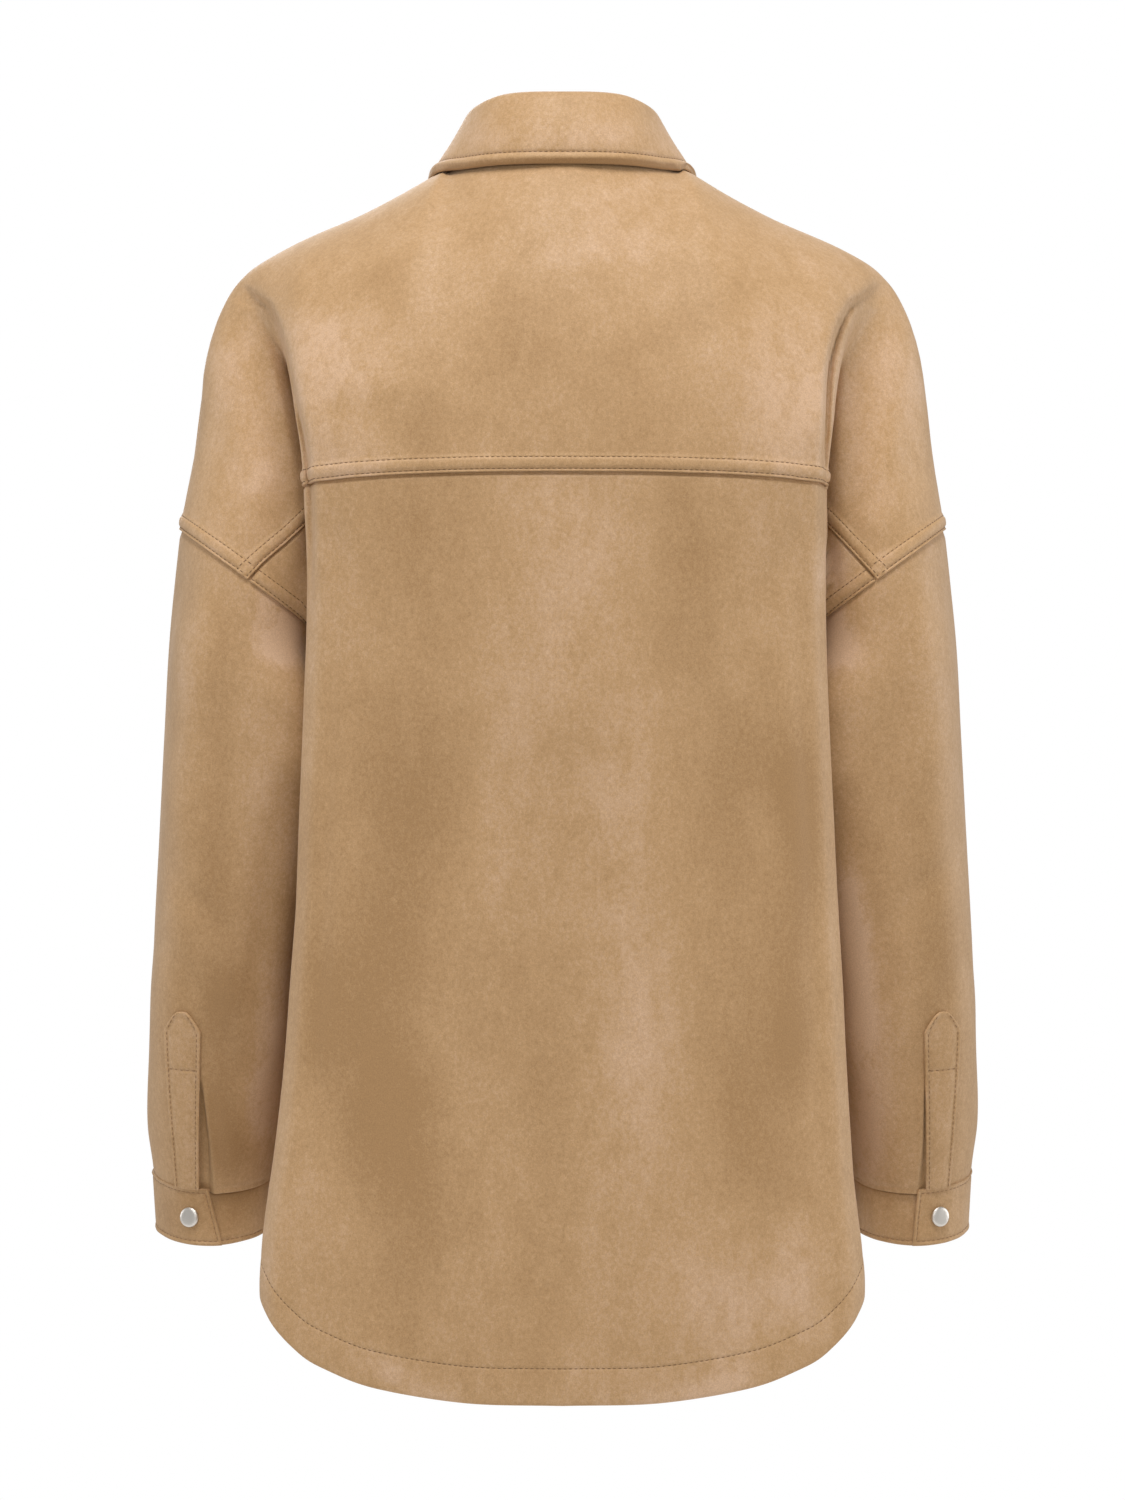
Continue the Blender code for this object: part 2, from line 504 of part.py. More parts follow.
def panels(sheets):
    """The body's cloth, cut out of the sheets."""
    back, back_n = sheets["back"], sheets["back_n"]
    front, front_n = sheets["front"], sheets["front_n"]
    cut, columns = sheets["yoke_row"] + 1, back.shape[1]
    by_armhole = np.zeros(columns)
    by_armhole[[0, 1, -2, -1]] = 1

    yoke_rise = np.zeros((cut, columns))
    yoke_rise[-2:] = 1
    crease = [COLUMNS_INNER.index(u) for u in CREASE_COLUMNS]
    yoke_rise[:, [sheets["middle"] + k for k in crease] + [sheets["middle"] - k for k in crease]] = 0
    relief = lap_relief(yoke_rise, by_armhole[None, :])[..., None]
    yoke = pull_in(back[:cut], "top bottom start end")
    n = back_n[:cut]
    wall("back_yoke", yoke + n * relief, yoke - n * CLOTH, suede["yoke"])

    rows = len(back) - sheets["yoke_row"]
    fade = np.zeros(rows)
    fade[:3] = LAP_FADE
    panel = pull_in(back[sheets["yoke_row"]:], "top start end")
    n = back_n[sheets["yoke_row"]:]
    relief = lap_relief(0, fade[:, None] * by_armhole[None, :])[..., None]
    wall("back_panel", panel + n * relief, panel - n * CLOTH, suede["back"])

    fade = np.zeros(len(front))
    fade[:sheets["chest_row"]] = 1
    fade[sheets["chest_row"]:sheets["chest_row"] + 3] = LAP_FADE
    relief = lap_relief(0, fade[:, None] * by_armhole[None, :])[..., None]
    middle = sheets["middle"]
    front = pull_in(front, "top start end")
    for name, side in (("front_left", 1), ("front_right", -1)):
        half = slice(middle + 2, None) if side > 0 else slice(middle - 2, None, -1)
        grid, n, rise = front[:, half], front_n[:, half], relief[:, half]
        lap, lap_n = centre_edge(front, front_n, side)
        grid = np.concatenate([lap, grid], axis=1)
        n = np.concatenate([lap_n, n], axis=1)
        rise = np.concatenate([np.zeros((len(front), lap.shape[1], 1)), rise], axis=1)
        wall(name, grid + n * rise, grid - n * CLOTH, suede["front"])


def across_front(front, normals, x):
    """Points and normals of the front sheet at the given x, row by row near the centre front."""
    spots = [[np.interp(x, row[:, 0], values[:, k]) for k in range(3)]
             for row, values in zip(front, front)]
    turned = [[np.interp(x, row[:, 0], values[:, k]) for k in range(3)]
              for row, values in zip(front, normals)]
    return np.array(spots).transpose(0, 2, 1), np.array(turned).transpose(0, 2, 1)


def centre_edge(front, normals, side):
    """The strip of a front at the centre: the right front laps over the left."""
    if side < 0:
        x = np.array([FRONT_STRIP_HALF, 0.0, -FRONT_STRIP_HALF])
        return across_front(front, normals, x)
    x = np.array([-FRONT_UNDERLAP, 0.0, FRONT_STRIP_HALF, FRONT_STRIP_HALF + FRONT_STEP])
    grid, n = across_front(front, normals, x)
    sunk = np.array([1, 1, 1, 0])[None, :, None] * (CLOTH + SEAM_GAP)
    return grid - n * sunk, n


def front_strip(sheets):
    """The placket strip on the right front's edge, and snap seats down its middle."""
    x = np.linspace(FRONT_STRIP_HALF, -FRONT_STRIP_HALF, 5)
    grid, n = across_front(pull_in(sheets["front"], "top"), sheets["front_n"], x)
    inner = grid + n * SEAM_GAP
    strip = wall("front_placket", inner + n * STRIP_CLOTH, inner, suede["placket"])
    line, line_n = inner[:, 2] + n[:, 2] * STRIP_CLOTH, n[:, 2]
    for number, z in enumerate(FRONT_SNAP_Z, 1):
        spot = [np.interp(-z, -line[:, 2], line[:, k]) for k in range(3)]
        way = [np.interp(-z, -line[:, 2], line_n[:, k]) for k in range(3)]
        snap(f"snap_front_{number}", spot, way, strip)


def seat(spot, way, carrier):
    """The spot, raised along the way until a snap's whole foot clears the cloth that carries it."""
    tree = BVHTree.FromPolygons([v.co for v in carrier.data.vertices],
                                [list(face.vertices) for face in carrier.data.polygons])
    side = way.orthogonal().normalized()
    across = way.cross(side)
    rise = 0.0
    for share in (0, 0.5, 1):
        for turn in np.radians(np.arange(0, 360, 30)):
            foot = spot + (side * math.cos(turn) + across * math.sin(turn)) * SNAP_RADIUS * share
            hit = tree.ray_cast(foot + way * SNAP_SEARCH, -way, 2 * SNAP_SEARCH)
            if hit[0] is not None:
                rise = max(rise, (hit[0] - spot).dot(way))
    return spot + way * (rise + SEAM_GAP)


def snap(name, spot, way, carrier):
    """A domed snap cap on a turned profile, seated on the cloth along its normal."""
    radius, height = SNAP_RADIUS, SNAP_HEIGHT
    profile = [(0, height), (0.62 * radius, 0.86 * height), (0.93 * radius, 0.55 * height),
               (radius, 0.25 * height), (0.93 * radius, 0), (0, 0)]
    mesh = bpy.data.meshes.new(name)
    mesh.from_pydata([(x, 0, z) for x, z in profile], [(k, k + 1) for k in range(len(profile) - 1)], [])
    mesh.materials.append(metal)
    made = bpy.data.objects.new(name, mesh)
    parts.objects.link(made)
    turn = made.modifiers.new("Turn", "SCREW")
    turn.axis = "Z"
    turn.steps = turn.render_steps = 16
    turn.use_merge_vertices = True
    turn.merge_threshold = 0.00001
    turn.use_smooth_shade = True
    way = Vector(way).normalized()
    made.rotation_euler = way.to_track_quat("Z", "Y").to_euler()
    made.location = seat(Vector(spot), way, carrier)


def sleeves(grid, normals, sides=(("left", 1), ("right", -1))):
    grid = pull_in(grid, "top bottom")
    for name, side in sides:
        flip = (side, 1, 1)
        wall(f"sleeve_{name}", grid * flip, (grid - normals * CLOTH) * flip, suede["sleeve"], wrap=True)


def sleeve_plackets():
    """Tower plackets: pointed strips on the back of each forearm, on the sleeve's own surface."""
    top, bottom = PLACKET["z"][0], PLACKET["z"][-1] + SEAM_GAP
    z = np.concatenate([[top, (top + PLACKET_SHOULDER_Z) / 2], np.linspace(PLACKET_SHOULDER_Z, bottom, 8)])
    reach = np.concatenate([[PLACKET_TIP, (1 + PLACKET_TIP) / 2], np.ones(8)])
    across = np.linspace(-1, 1, 5)
    middle = np.interp(-z, -PLACKET["z"], PLACKET["angle"])
    half = np.degrees(np.interp(-z, -PLACKET["z"], PLACKET["half"]) / FOREARM_RADIUS) * reach
    angle = middle[:, None] + half[:, None] * across[None, :]
    share = sleeve_share(z)[:, None] + 0 * angle
    grid = sleeve_section(angle, share)
    normals = sleeve_normals(angle, share)
    inner = grid + normals * 2 * SEAM_GAP
    for name, side in (("left", 1), ("right", -1)):
        flip = (side, 1, 1)
        wall(f"sleeve_placket_{name}", (inner + normals * STRIP_CLOTH) * flip, inner * flip, suede["placket"])


def sleeve_normals(angle, share):
    """Outward normals of the sleeve's surface at section angles and shares of its length."""
    step = 0.001
    along = sleeve_section(angle, share + step) - sleeve_section(angle, share - step)
    around = sleeve_section(angle + 1, share) - sleeve_section(angle - 1, share)
    n = np.cross(around, along)
    n /= np.linalg.norm(n, axis=-1, keepdims=True)
    middle = sleeve_section(angle + 180, share)
    return n * np.sign(np.sum(n * (sleeve_section(angle, share) - middle), axis=-1, keepdims=True))


def cuffs():
    """Lapped cuff bands, each with a snap on its flap: a band starts on top at its flap's end, goes round the
    wrist and steps in, to end under the flap after more than a full turn."""
    turn = np.concatenate([np.linspace(0, 45, 6), np.linspace(60, 300, 13),
                           np.linspace(318, 360 + CUFF_UNDERLAP, 9)])
    height = np.array([0, 0.25, 0.75, 1])[:, None]
    taper = 1 - CUFF_TAPER * height
    for name, side, start, slant in zip(("left", "right"), *CUFF_FLAP.values()):
        angle = start + slant * height * (1 - ease(turn / CUFF_SLANT_REACH)) - turn
        ring = sleeve_section(angle, np.ones_like(angle))
        n = sleeve_normals(angle, np.ones_like(angle)) * (1, 1, 0)
        n /= np.linalg.norm(n, axis=-1, keepdims=True)
        under = ease((turn + slant - CUFF_STEP_START) / CUFF_STEP)[None, :, None]
        sunk = (BAND_CLOTH + 2 * SEAM_GAP) * under
        centre = sleeve_section(np.arange(0, 360, 30), np.ones(12)).mean(axis=0)
        grid = centre + (ring - centre) * np.stack([taper, taper, np.ones_like(taper)], axis=-1)
        grid += n * (CUFF_EASE - sunk) - (SEAM_GAP + height * CUFF_HEIGHT)[..., None] * (0, 0, 1)
        flip = np.array((side, 1, 1))
        band = wall(f"cuff_{name}", grid * flip, (grid - n * BAND_CLOTH) * flip, suede["cuff"])
        spot = grid[1:3, 2:4].mean(axis=(0, 1))
        snap(f"snap_cuff_{name}", spot * flip, n[1:3, 2:4].mean(axis=(0, 1)) * flip, band)


def stand_point(angle, share):
    """The collar stand's outer surface between neckline and top edge."""
    wrapped = (angle + 180) % 360 - 180
    low = neckline(wrapped)
    high = points(STAND_TOP, wrapped, key="angle")
    return low + (high - low) * share


def flat_outward(angle):
    """Level outward directions round the collar."""
    step = stand_point(angle + 1.0, np.full(np.shape(angle) + (1,), 0.5)) - stand_point(
        angle - 1.0, np.full(np.shape(angle) + (1,), 0.5))
    out = np.stack([-step[..., 1], step[..., 0], 0 * step[..., 0]], axis=-1)
    return out / np.linalg.norm(out, axis=-1, keepdims=True)


def neck_angle(x):
    """Angle of the front neckline's point at a distance from the middle."""
    return 180 - math.degrees(math.asin(x / NECK["half_x"]))


def neck_angles():
    """The neckline's angles where the body's columns end on it, from centre back to centre front."""
    u = np.array(COLUMNS_NECK)
    back = smooth(BACK_NECK["u"], BACK_NECK["angle"], u)
    front = smooth(FRONT_NECK["u"], FRONT_NECK["angle"], u[:1:-1])
    return np.concatenate([back, front[1:], [neck_angle(FRONT_STRIP_HALF), 180]])


def collar_stand():
    """The neck band: from its end over the centre front, round the neck, to its end under it."""
    half = neck_angles()
    angle = np.concatenate([[neck_angle(FRONT_STRIP_HALF) - 360], -half[::-1], half[1:],
                            [360 - neck_angle(FRONT_UNDERLAP)]])
    out = flat_outward(angle)
    sunk = (BAND_CLOTH + 2 * SEAM_GAP) * ease((angle - 150) / 18)
    rows = []
    for share in (0, 0.5, 1):
        row = stand_point(angle, np.full((len(angle), 1), share))
        rows.append(row - out * sunk[:, None])
    grid = np.array(rows)
    up = grid[-1] - grid[0]
    grid[0] += 2 * SEAM_GAP * up / np.linalg.norm(up, axis=-1, keepdims=True)
    made = wall("collar_stand", grid, grid - out[None] * BAND_CLOTH, suede["collar"])
    seat = grid[1, 0] * 0.5 + grid[1, 1] * 0.5
    snap("snap_collar", seat, out[0] + out[1], made)


def push_out(grid, tree, clearance):
    """The points, moved out of the body where they are nearer to it than the clearance."""
    shape = grid.shape
    moved = grid.reshape(-1, 3).copy()
    for k, spot in enumerate(moved):
        near, normal, _, distance = tree.find_nearest(Vector(spot))
        offset = (Vector(spot) - near).dot(normal)
        if offset < clearance and distance < LEAF_REACH:
            moved[k] = near + normal * clearance
    return moved.reshape(shape)


def body_tree(sheets):
    """A search tree over the body's outer skin, normals out."""
    spots, faces, start = [], [], 0
    for name in ("back", "front"):
        grid = sheets[name]
        rows, columns = grid.shape[:2]
        number = start + np.arange(rows * columns).reshape(rows, columns)
        quads = np.stack([number[:-1, :-1], number[1:, :-1], number[1:, 1:], number[:-1, 1:]], axis=-1)
        if name == "back":
            quads = quads[..., ::-1]
        spots.append(grid.reshape(-1, 3))
        faces.append(quads.reshape(-1, 4))
        start += rows * columns
    return BVHTree.FromPolygons(np.concatenate(spots).tolist(), np.concatenate(faces).tolist())


def collar_leaf(sheets):
    """The fold-over leaf: rolled over the stand's top, falling to its edge on the shoulders."""
    half = np.concatenate([np.linspace(0, 48, 6), np.linspace(54, 120, 12),
                           np.linspace(129, LEAF_FRONT_ANGLE, 5)])
    angle = np.concatenate([-half[:0:-1], half])
    out = flat_outward(angle)
    top = stand_point(angle, np.ones((len(angle), 1)))
    edge = points(LEAF_EDGE, np.abs(angle), key="angle") * np.stack(
        [np.sign(angle), np.ones(len(angle)), np.ones(len(angle))], axis=-1)
    rows = [top + out * o + (0, 0, 1) * np.array([[u]]) for o, u in zip(LEAF_ROLL["out"], LEAF_ROLL["up"])]
    for share in LEAF_ROWS:
        bulge = math.sin(math.pi * share) * (LEAF_BULGE[0] - LEAF_BULGE[1] * np.sin(np.radians(angle))[:, None] ** 2) * out
        rows.append(rows[3] + (edge - rows[3]) * share + bulge)
    inner = np.array(rows)
    tree = body_tree(sheets)
    in_front = np.abs(angle) > 90
    for columns, clearance in zip((~in_front, in_front), LEAF_CLEARANCE):
        inner[5:, columns] = push_out(inner[5:, columns], tree, clearance)
    normals = outward(grid_normals(inner), inner, inner[0].mean(axis=0))
    wall("collar_leaf", inner + normals * BAND_CLOTH, inner, suede["collar"])


def clear_scene():
    for old in list(bpy.data.objects):
        bpy.data.objects.remove(old, do_unlink=True)


clear_scene()
parts = bpy.data.collections.new("shirt_jacket")
bpy.context.scene.collection.children.link(parts)
suede = {name: material(f"suede_{name}", colour, 0.92) for name, colour in {
    "yoke": (0.63, 0.43, 0.26), "back": (0.55, 0.37, 0.22), "front": (0.55, 0.37, 0.22),
    "sleeve": (0.46, 0.30, 0.17), "cuff": (0.43, 0.29, 0.17), "placket": (0.46, 0.31, 0.18),
    "collar": (0.64, 0.45, 0.27)}.items()}
metal = material("snap_metal", (0.72, 0.70, 0.67), 0.35, 1.0)

sheets = body()
sleeve, sleeve_n, armhole_n = sleeve_grid(sheets)
put_back_normals(sheets, armhole_n)
panels(sheets)
front_strip(sheets)
sleeves(sleeve, sleeve_n)
sleeve_plackets()
cuffs()
collar_stand()
collar_leaf(sheets)
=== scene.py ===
# %% [markdown]
# # A suede shirt-jacket, hollow and filled out as if worn
# The solid model gives every piece of the jacket as a plain wall. This lesson dresses it: each cut piece becomes a
# thin, soft shell of cloth on the same form, with its creases, padded seam bands, rows of stitches and nap.
# We load the solid model first, because every piece stands in for one of its nodes.

# %% Load the solid model
import math

import bpy
import numpy as np
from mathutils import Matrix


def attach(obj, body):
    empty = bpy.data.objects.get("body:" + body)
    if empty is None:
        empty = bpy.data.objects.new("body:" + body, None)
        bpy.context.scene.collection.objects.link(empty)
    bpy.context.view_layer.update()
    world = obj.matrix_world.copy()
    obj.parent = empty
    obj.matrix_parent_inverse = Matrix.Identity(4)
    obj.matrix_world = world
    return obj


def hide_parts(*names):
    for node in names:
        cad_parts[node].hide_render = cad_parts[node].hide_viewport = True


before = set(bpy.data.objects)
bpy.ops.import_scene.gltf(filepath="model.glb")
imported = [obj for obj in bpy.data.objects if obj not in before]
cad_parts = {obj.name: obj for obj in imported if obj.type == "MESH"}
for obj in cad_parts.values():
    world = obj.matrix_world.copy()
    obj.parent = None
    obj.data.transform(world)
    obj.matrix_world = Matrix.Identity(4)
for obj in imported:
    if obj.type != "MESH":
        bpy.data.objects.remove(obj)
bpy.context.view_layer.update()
scene = bpy.context.scene

# %% [markdown]
# ## Camera, floor and light
# The jacket is looked at from behind, level with its middle and from far off, so a long lens keeps the sleeves
# straight. The floor lies as far below the shoulders as it would under a person. The main light is a wide soft
# box high over the jacket's back. Weaker ones stand beside the camera, at both sides and in front, in an even pale
# room.

# %% Camera
LOOK_AT, AWAY, LENS = np.array([0.0, 0.0, -0.363]), 4.0, 155
camera = bpy.data.objects.new("camera", bpy.data.cameras.new("camera"))
camera.location = LOOK_AT + (0, AWAY, 0)
camera.rotation_euler = (math.pi / 2, 0, math.pi)
camera.data.lens = LENS
scene.collection.objects.link(camera)
scene.camera = camera
scene.view_settings.view_transform = "Standard"


# %% Floor
def principled(name, values):
    """A material with these values on its Principled shader's inputs, and that shader."""
    made = bpy.data.materials.new(name)
    made.use_nodes = True
    shader = made.node_tree.nodes["Principled BSDF"]
    for socket, value in values.items():
        shader.inputs[socket].default_value = value
    return made, shader


FLOOR_Z, FLOOR_RADIUS = -1.45, 3.2
bpy.ops.mesh.primitive_circle_add(vertices=96, radius=FLOOR_RADIUS, fill_type="NGON", location=(0, 0, FLOOR_Z))
floor = bpy.context.object
floor.name = "floor"
floor_paint, _ = principled("pale_floor", {"Base Color": (0.86, 0.85, 0.84, 1), "Roughness": 0.9})
floor.data.materials.append(floor_paint)


# %% Lights
def soft_box(name, place, size, watts):
    """A square area lamp that faces the jacket's middle."""
    lamp = bpy.data.lights.new(name, "AREA")
    lamp.size = size
    lamp.energy = watts
    made = bpy.data.objects.new(name, lamp)
    made.location = place
    from_lamp = LOOK_AT - np.array(place)
    pitch = math.atan2(math.hypot(from_lamp[0], from_lamp[1]), -from_lamp[2])
    made.rotation_euler = (pitch, 0, math.atan2(-from_lamp[0], from_lamp[1]))
    scene.collection.objects.link(made)


for lamp in (("key_above", (0.05, 1.3, 2.35), 1.5, 76), ("near_left", (1.3, 3.1, 0.3), 1.4, 10),
             ("behind", (0.0, 3.7, 0.75), 1.1, 15), ("near_right", (-1.8, 2.8, 0.2), 1.4, 6),
             ("rim_left", (2.5, -0.35, -0.15), 1.6, 17), ("rim_right", (-2.5, -0.35, -0.15), 1.6, 26),
             ("front_fill", (0.35, -2.8, 1.0), 1.8, 36)):
    soft_box(*lamp)

room = bpy.data.worlds.new("pale_room")
scene.world = room
room.use_nodes = True
nodes, links = room.node_tree.nodes, room.node_tree.links
seen = nodes.new("ShaderNodeBackground")
seen.inputs["Color"].default_value = (1, 1, 1, 1)
seen.inputs["Strength"].default_value = 1.0
glow = nodes["Background"]
glow.inputs["Color"].default_value = (1, 0.99, 0.98, 1)
glow.inputs["Strength"].default_value = 0.32
either = nodes.new("ShaderNodeMixShader")
links.new(nodes.new("ShaderNodeLightPath").outputs["Is Camera Ray"], either.inputs["Fac"])
links.new(glow.outputs["Background"], either.inputs[1])
links.new(seen.outputs["Background"], either.inputs[2])
links.new(either.outputs["Shader"], nodes["World Output"].inputs["Surface"])

# %% [markdown]
# ## Sizes and tables
# A pattern cutter writes a jacket down as a few tables of measures. Ours hold the shoulder line, the yoke seam, the
# chest line, sections of the body and sleeves, the hem and the collar. A smooth curve through a table's rows gives
# every point between them, so one short table can make thousands of points.

# %% Sizes
MM = 0.001
CLOTH = 2 * MM            # body and sleeves
BAND_CLOTH = 3 * MM       # collar and cuffs, two layers with interlining
STRIP_CLOTH = 1.6 * MM    # plackets
TUCK = 3 * MM             # cloth that runs on under a lapped edge
HEM_DEPTH = 23 * MM
NECK_U, CREASE_U, FOLD_OUT_U = 0.22, 0.72, 0.82
NECK = {"half_x": 0.067, "half_y": 0.068, "y": -0.010, "rise": 0.010, "dip": 0.062, "side": 0.0024}
SEAM_FORWARD = math.radians(-9.4)
STRIP_HALF, UNDERLAP = 16 * MM, 13 * MM
FAR = 1.0                 # metres: away from every edge
SIDE_NAME = {1: "left", -1: "right"}


def table(columns, *rows):
    """A short table as named columns."""
    return dict(zip(columns.split(), np.array(rows, float).T))


SHOULDER = table("u x y z",
                 (0.22, 0.0702, -0.0016, -0.0046), (0.31, 0.0982, -0.003, -0.0194), (0.40, 0.1262, -0.004, -0.0325),
                 (0.52, 0.1680, -0.005, -0.0502), (0.60, 0.1900, -0.006, -0.0625),
                 (0.66, 0.1990, -0.007, -0.0700), (0.72, 0.2065, -0.008, -0.0790),
                 (0.77, 0.2122, -0.009, -0.0895), (0.82, 0.2168, -0.009, -0.1010),
                 (0.88, 0.2223, -0.010, -0.1210), (0.93, 0.2266, -0.010, -0.1500),
                 (0.97, 0.2306, -0.010, -0.1830), (1.00, 0.2370, -0.010, -0.2265))
BACK_NECK = table("u angle start", (0, 0, 40), (0.08, 36, 30), (0.15, 68, 11), (0.22, 100, -9.4))
FRONT_NECK = table("u angle start", (0, 180, 50), (0.08, 152, 40), (0.15, 126, 24), (0.22, 100, 9.4))
YOKE_SEAM = table("u x y z",
                  (0.00, 0.0000, 0.1250, -0.1957), (0.11, 0.0500, 0.1238, -0.1960),
                  (0.22, 0.0960, 0.1178, -0.1972), (0.33, 0.1220, 0.1105, -0.1987),
                  (0.45, 0.1385, 0.1030, -0.1999), (0.55, 0.1525, 0.0925, -0.2012),
                  (0.60, 0.1570, 0.0800, -0.2023), (0.66, 0.1540, 0.0590, -0.2058),
                  (0.72, 0.1475, 0.0460, -0.2102), (0.77, 0.1520, 0.0425, -0.2150),
                  (0.82, 0.1600, 0.0430, -0.2210), (0.91, 0.1755, 0.0480, -0.2395),
                  (1.00, 0.1925, 0.0520, -0.2590))
CHEST = table("u x y z",
              (0.00, 0.0000, -0.1360, -0.2150), (0.11, 0.0500, -0.1352, -0.2152),
              (0.22, 0.0960, -0.1290, -0.2160), (0.33, 0.1210, -0.1225, -0.2172),
              (0.45, 0.1370, -0.1150, -0.2182), (0.55, 0.1515, -0.1035, -0.2200),
              (0.60, 0.1550, -0.0945, -0.2215), (0.66, 0.1525, -0.0795, -0.2245),
              (0.72, 0.1480, -0.0665, -0.2280), (0.77, 0.1520, -0.0635, -0.2320),
              (0.82, 0.1600, -0.0645, -0.2365), (0.91, 0.1755, -0.0690, -0.2480),
              (1.00, 0.1925, -0.0720, -0.2590))
FOLD_SWING = table("u swing", (0, 0), (0.40, 0), (0.60, 1), (0.72, 1), (0.85, 0.4), (1, 0))
NECK_SPLAY = table("u splay", (0, 1), (0.22, 1), (0.45, 0), (1, 0))
TORSO = table("z back_edge side front_edge back_y back_edge_y side_y front_edge_y front_y",
              (-0.2915, 0.1595, 0.1480, 0.1565, 0.1240, 0.080, -0.010, -0.096, -0.1360),
              (-0.3300, 0.1610, 0.1425, 0.1570, 0.1225, 0.079, -0.012, -0.097, -0.1345),
              (-0.4000, 0.1640, 0.1425, 0.1600, 0.1200, 0.077, -0.015, -0.097, -0.1310),
              (-0.4900, 0.1675, 0.1455, 0.1635, 0.1185, 0.074, -0.020, -0.096, -0.1270),
              (-0.5600, 0.1710, 0.1500, 0.1670, 0.1180, 0.072, -0.025, -0.095, -0.1260),
              (-0.6200, 0.1765, 0.1580, 0.1720, 0.1185, 0.070, -0.028, -0.094, -0.1265),
              (-0.6600, 0.1825, 0.1665, 0.1765, 0.1190, 0.069, -0.028, -0.093, -0.1280),
              (-0.7200, 0.1850, 0.1720, 0.1785, 0.1195, 0.066, -0.026, -0.092, -0.1295),
              (-0.7800, 0.1860, 0.1750, 0.1800, 0.1190, 0.064, -0.025, -0.090, -0.1310))
SECTION = table("u edge_x side_x mid_y side_y",
                (0.00, 0.000, 0.000, 1.000, 0.00), (0.11, 0.310, 0.000, 0.975, 0.00),
                (0.22, 0.602, 0.000, 0.860, 0.00), (0.33, 0.765, 0.000, 0.690, 0.00),
                (0.45, 0.875, 0.000, 0.520, 0.00), (0.55, 0.970, 0.000, 0.285, 0.00),
                (0.60, 1.000, 0.000, 0.00, 0.00), (0.66, 0.740, 0.260, 0.00, 0.22),
                (0.72, 0.160, 0.840, 0.00, 0.42), (0.77, 0.000, 0.995, 0.00, 0.53),
                (0.82, 0.000, 0.992, 0.00, 0.66), (0.91, 0.000, 0.995, 0.00, 0.83),
                (1.00, 0.000, 1.000, 0.00, 1.00))
UNDERARM = table("u z", (0.00, -0.330), (0.60, -0.330), (0.77, -0.330), (0.82, -0.3265), (0.91, -0.3120),
                 (1.00, -0.2915))
HEM = table("u back front",
            (0.00, -0.7580, -0.7350), (0.11, -0.7566, -0.7332), (0.22, -0.7485, -0.7265),
            (0.33, -0.7385, -0.7175), (0.45, -0.7270, -0.7090), (0.55, -0.7080, -0.6950),
            (0.60, -0.6965, -0.6855), (0.66, -0.6835, -0.6765), (0.72, -0.6730, -0.6690),
            (0.82, -0.6625, -0.6610), (0.91, -0.6568, -0.6565), (1.00, -0.6550, -0.6550))
ARMHOLE = {"x": 0.1925, "y": -0.010, "z": -0.2590, "half_x": 0.0445, "half_y": 0.0620, "tilt": 0.0325}
SLEEVE = table("z outer_x half_x y half_y tilt pitch",
               (-0.2590, 0.2370, 0.0445, -0.0100, 0.0620, 0.0325, 0.0000),
               (-0.3100, 0.2440, 0.0475, -0.0105, 0.0630, 0.0200, -0.0010),
               (-0.3600, 0.2472, 0.0498, -0.0120, 0.0620, 0.0090, -0.0020),
               (-0.4200, 0.2508, 0.0485, -0.0150, 0.0590, 0.0020, -0.0035),
               (-0.4900, 0.2548, 0.0445, -0.0210, 0.0550, 0.0000, -0.0055),
               (-0.5500, 0.2568, 0.0430, -0.0290, 0.0510, 0.0000, -0.0075),
               (-0.5950, 0.2576, 0.0410, -0.0360, 0.0470, 0.0000, -0.0090),
               (-0.6257, 0.2556, 0.0370, -0.0430, 0.0425, 0.0000, -0.0100))
CUFF_FLAP = table("angle slant", (87, 14), (86, 5))   # left, right
CUFF_HEIGHT, CUFF_UNDERLAP = 34.5 * MM, 40
PLACKET = table("z angle half", (-0.5175, 62.5, 0.0112), (-0.5700, 64.5, 0.0102), (-0.6257, 68.0, 0.0088))
PLACKET_SHOULDER_Z, PLACKET_BOX_Z = -0.5300, -0.5530
FOREARM_RADIUS = 0.046
STAND_TOP = table("angle x y z", (-180, 0.0000, -0.0790, -0.0370), (-135, -0.0390, -0.0560, -0.0110),
                  (-90, -0.0525, -0.0105, 0.0165), (-45, -0.0365, 0.0380, 0.0285), (0, 0.0000, 0.0515, 0.0300),
                  (45, 0.0365, 0.0380, 0.0285), (90, 0.0525, -0.0105, 0.0165),
                  (135, 0.0390, -0.0560, -0.0110), (180, 0.0000, -0.0790, -0.0370))
LEAF_EDGE = table("angle x y z",
                  (0, 0.0000, 0.0712, -0.0065), (15, 0.0190, 0.0698, -0.0065), (30, 0.0365, 0.0628, -0.0066),
                  (55, 0.0600, 0.0412, -0.0074), (80, 0.0785, 0.0080, -0.0076), (92, 0.0820, -0.0120, -0.0104),
                  (105, 0.0838, -0.0340, -0.0165), (120, 0.0825, -0.0570, -0.0258), (135, 0.0785, -0.0785, -0.0438),
                  (155, 0.0655, -0.1025, -0.0820), (170, 0.0490, -0.1140, -0.1075))
LEAF_ROLL = table("out up", (0.0000, 0.0004), (0.0008, 0.0035), (0.0035, 0.0060), (0.0068, 0.0050))


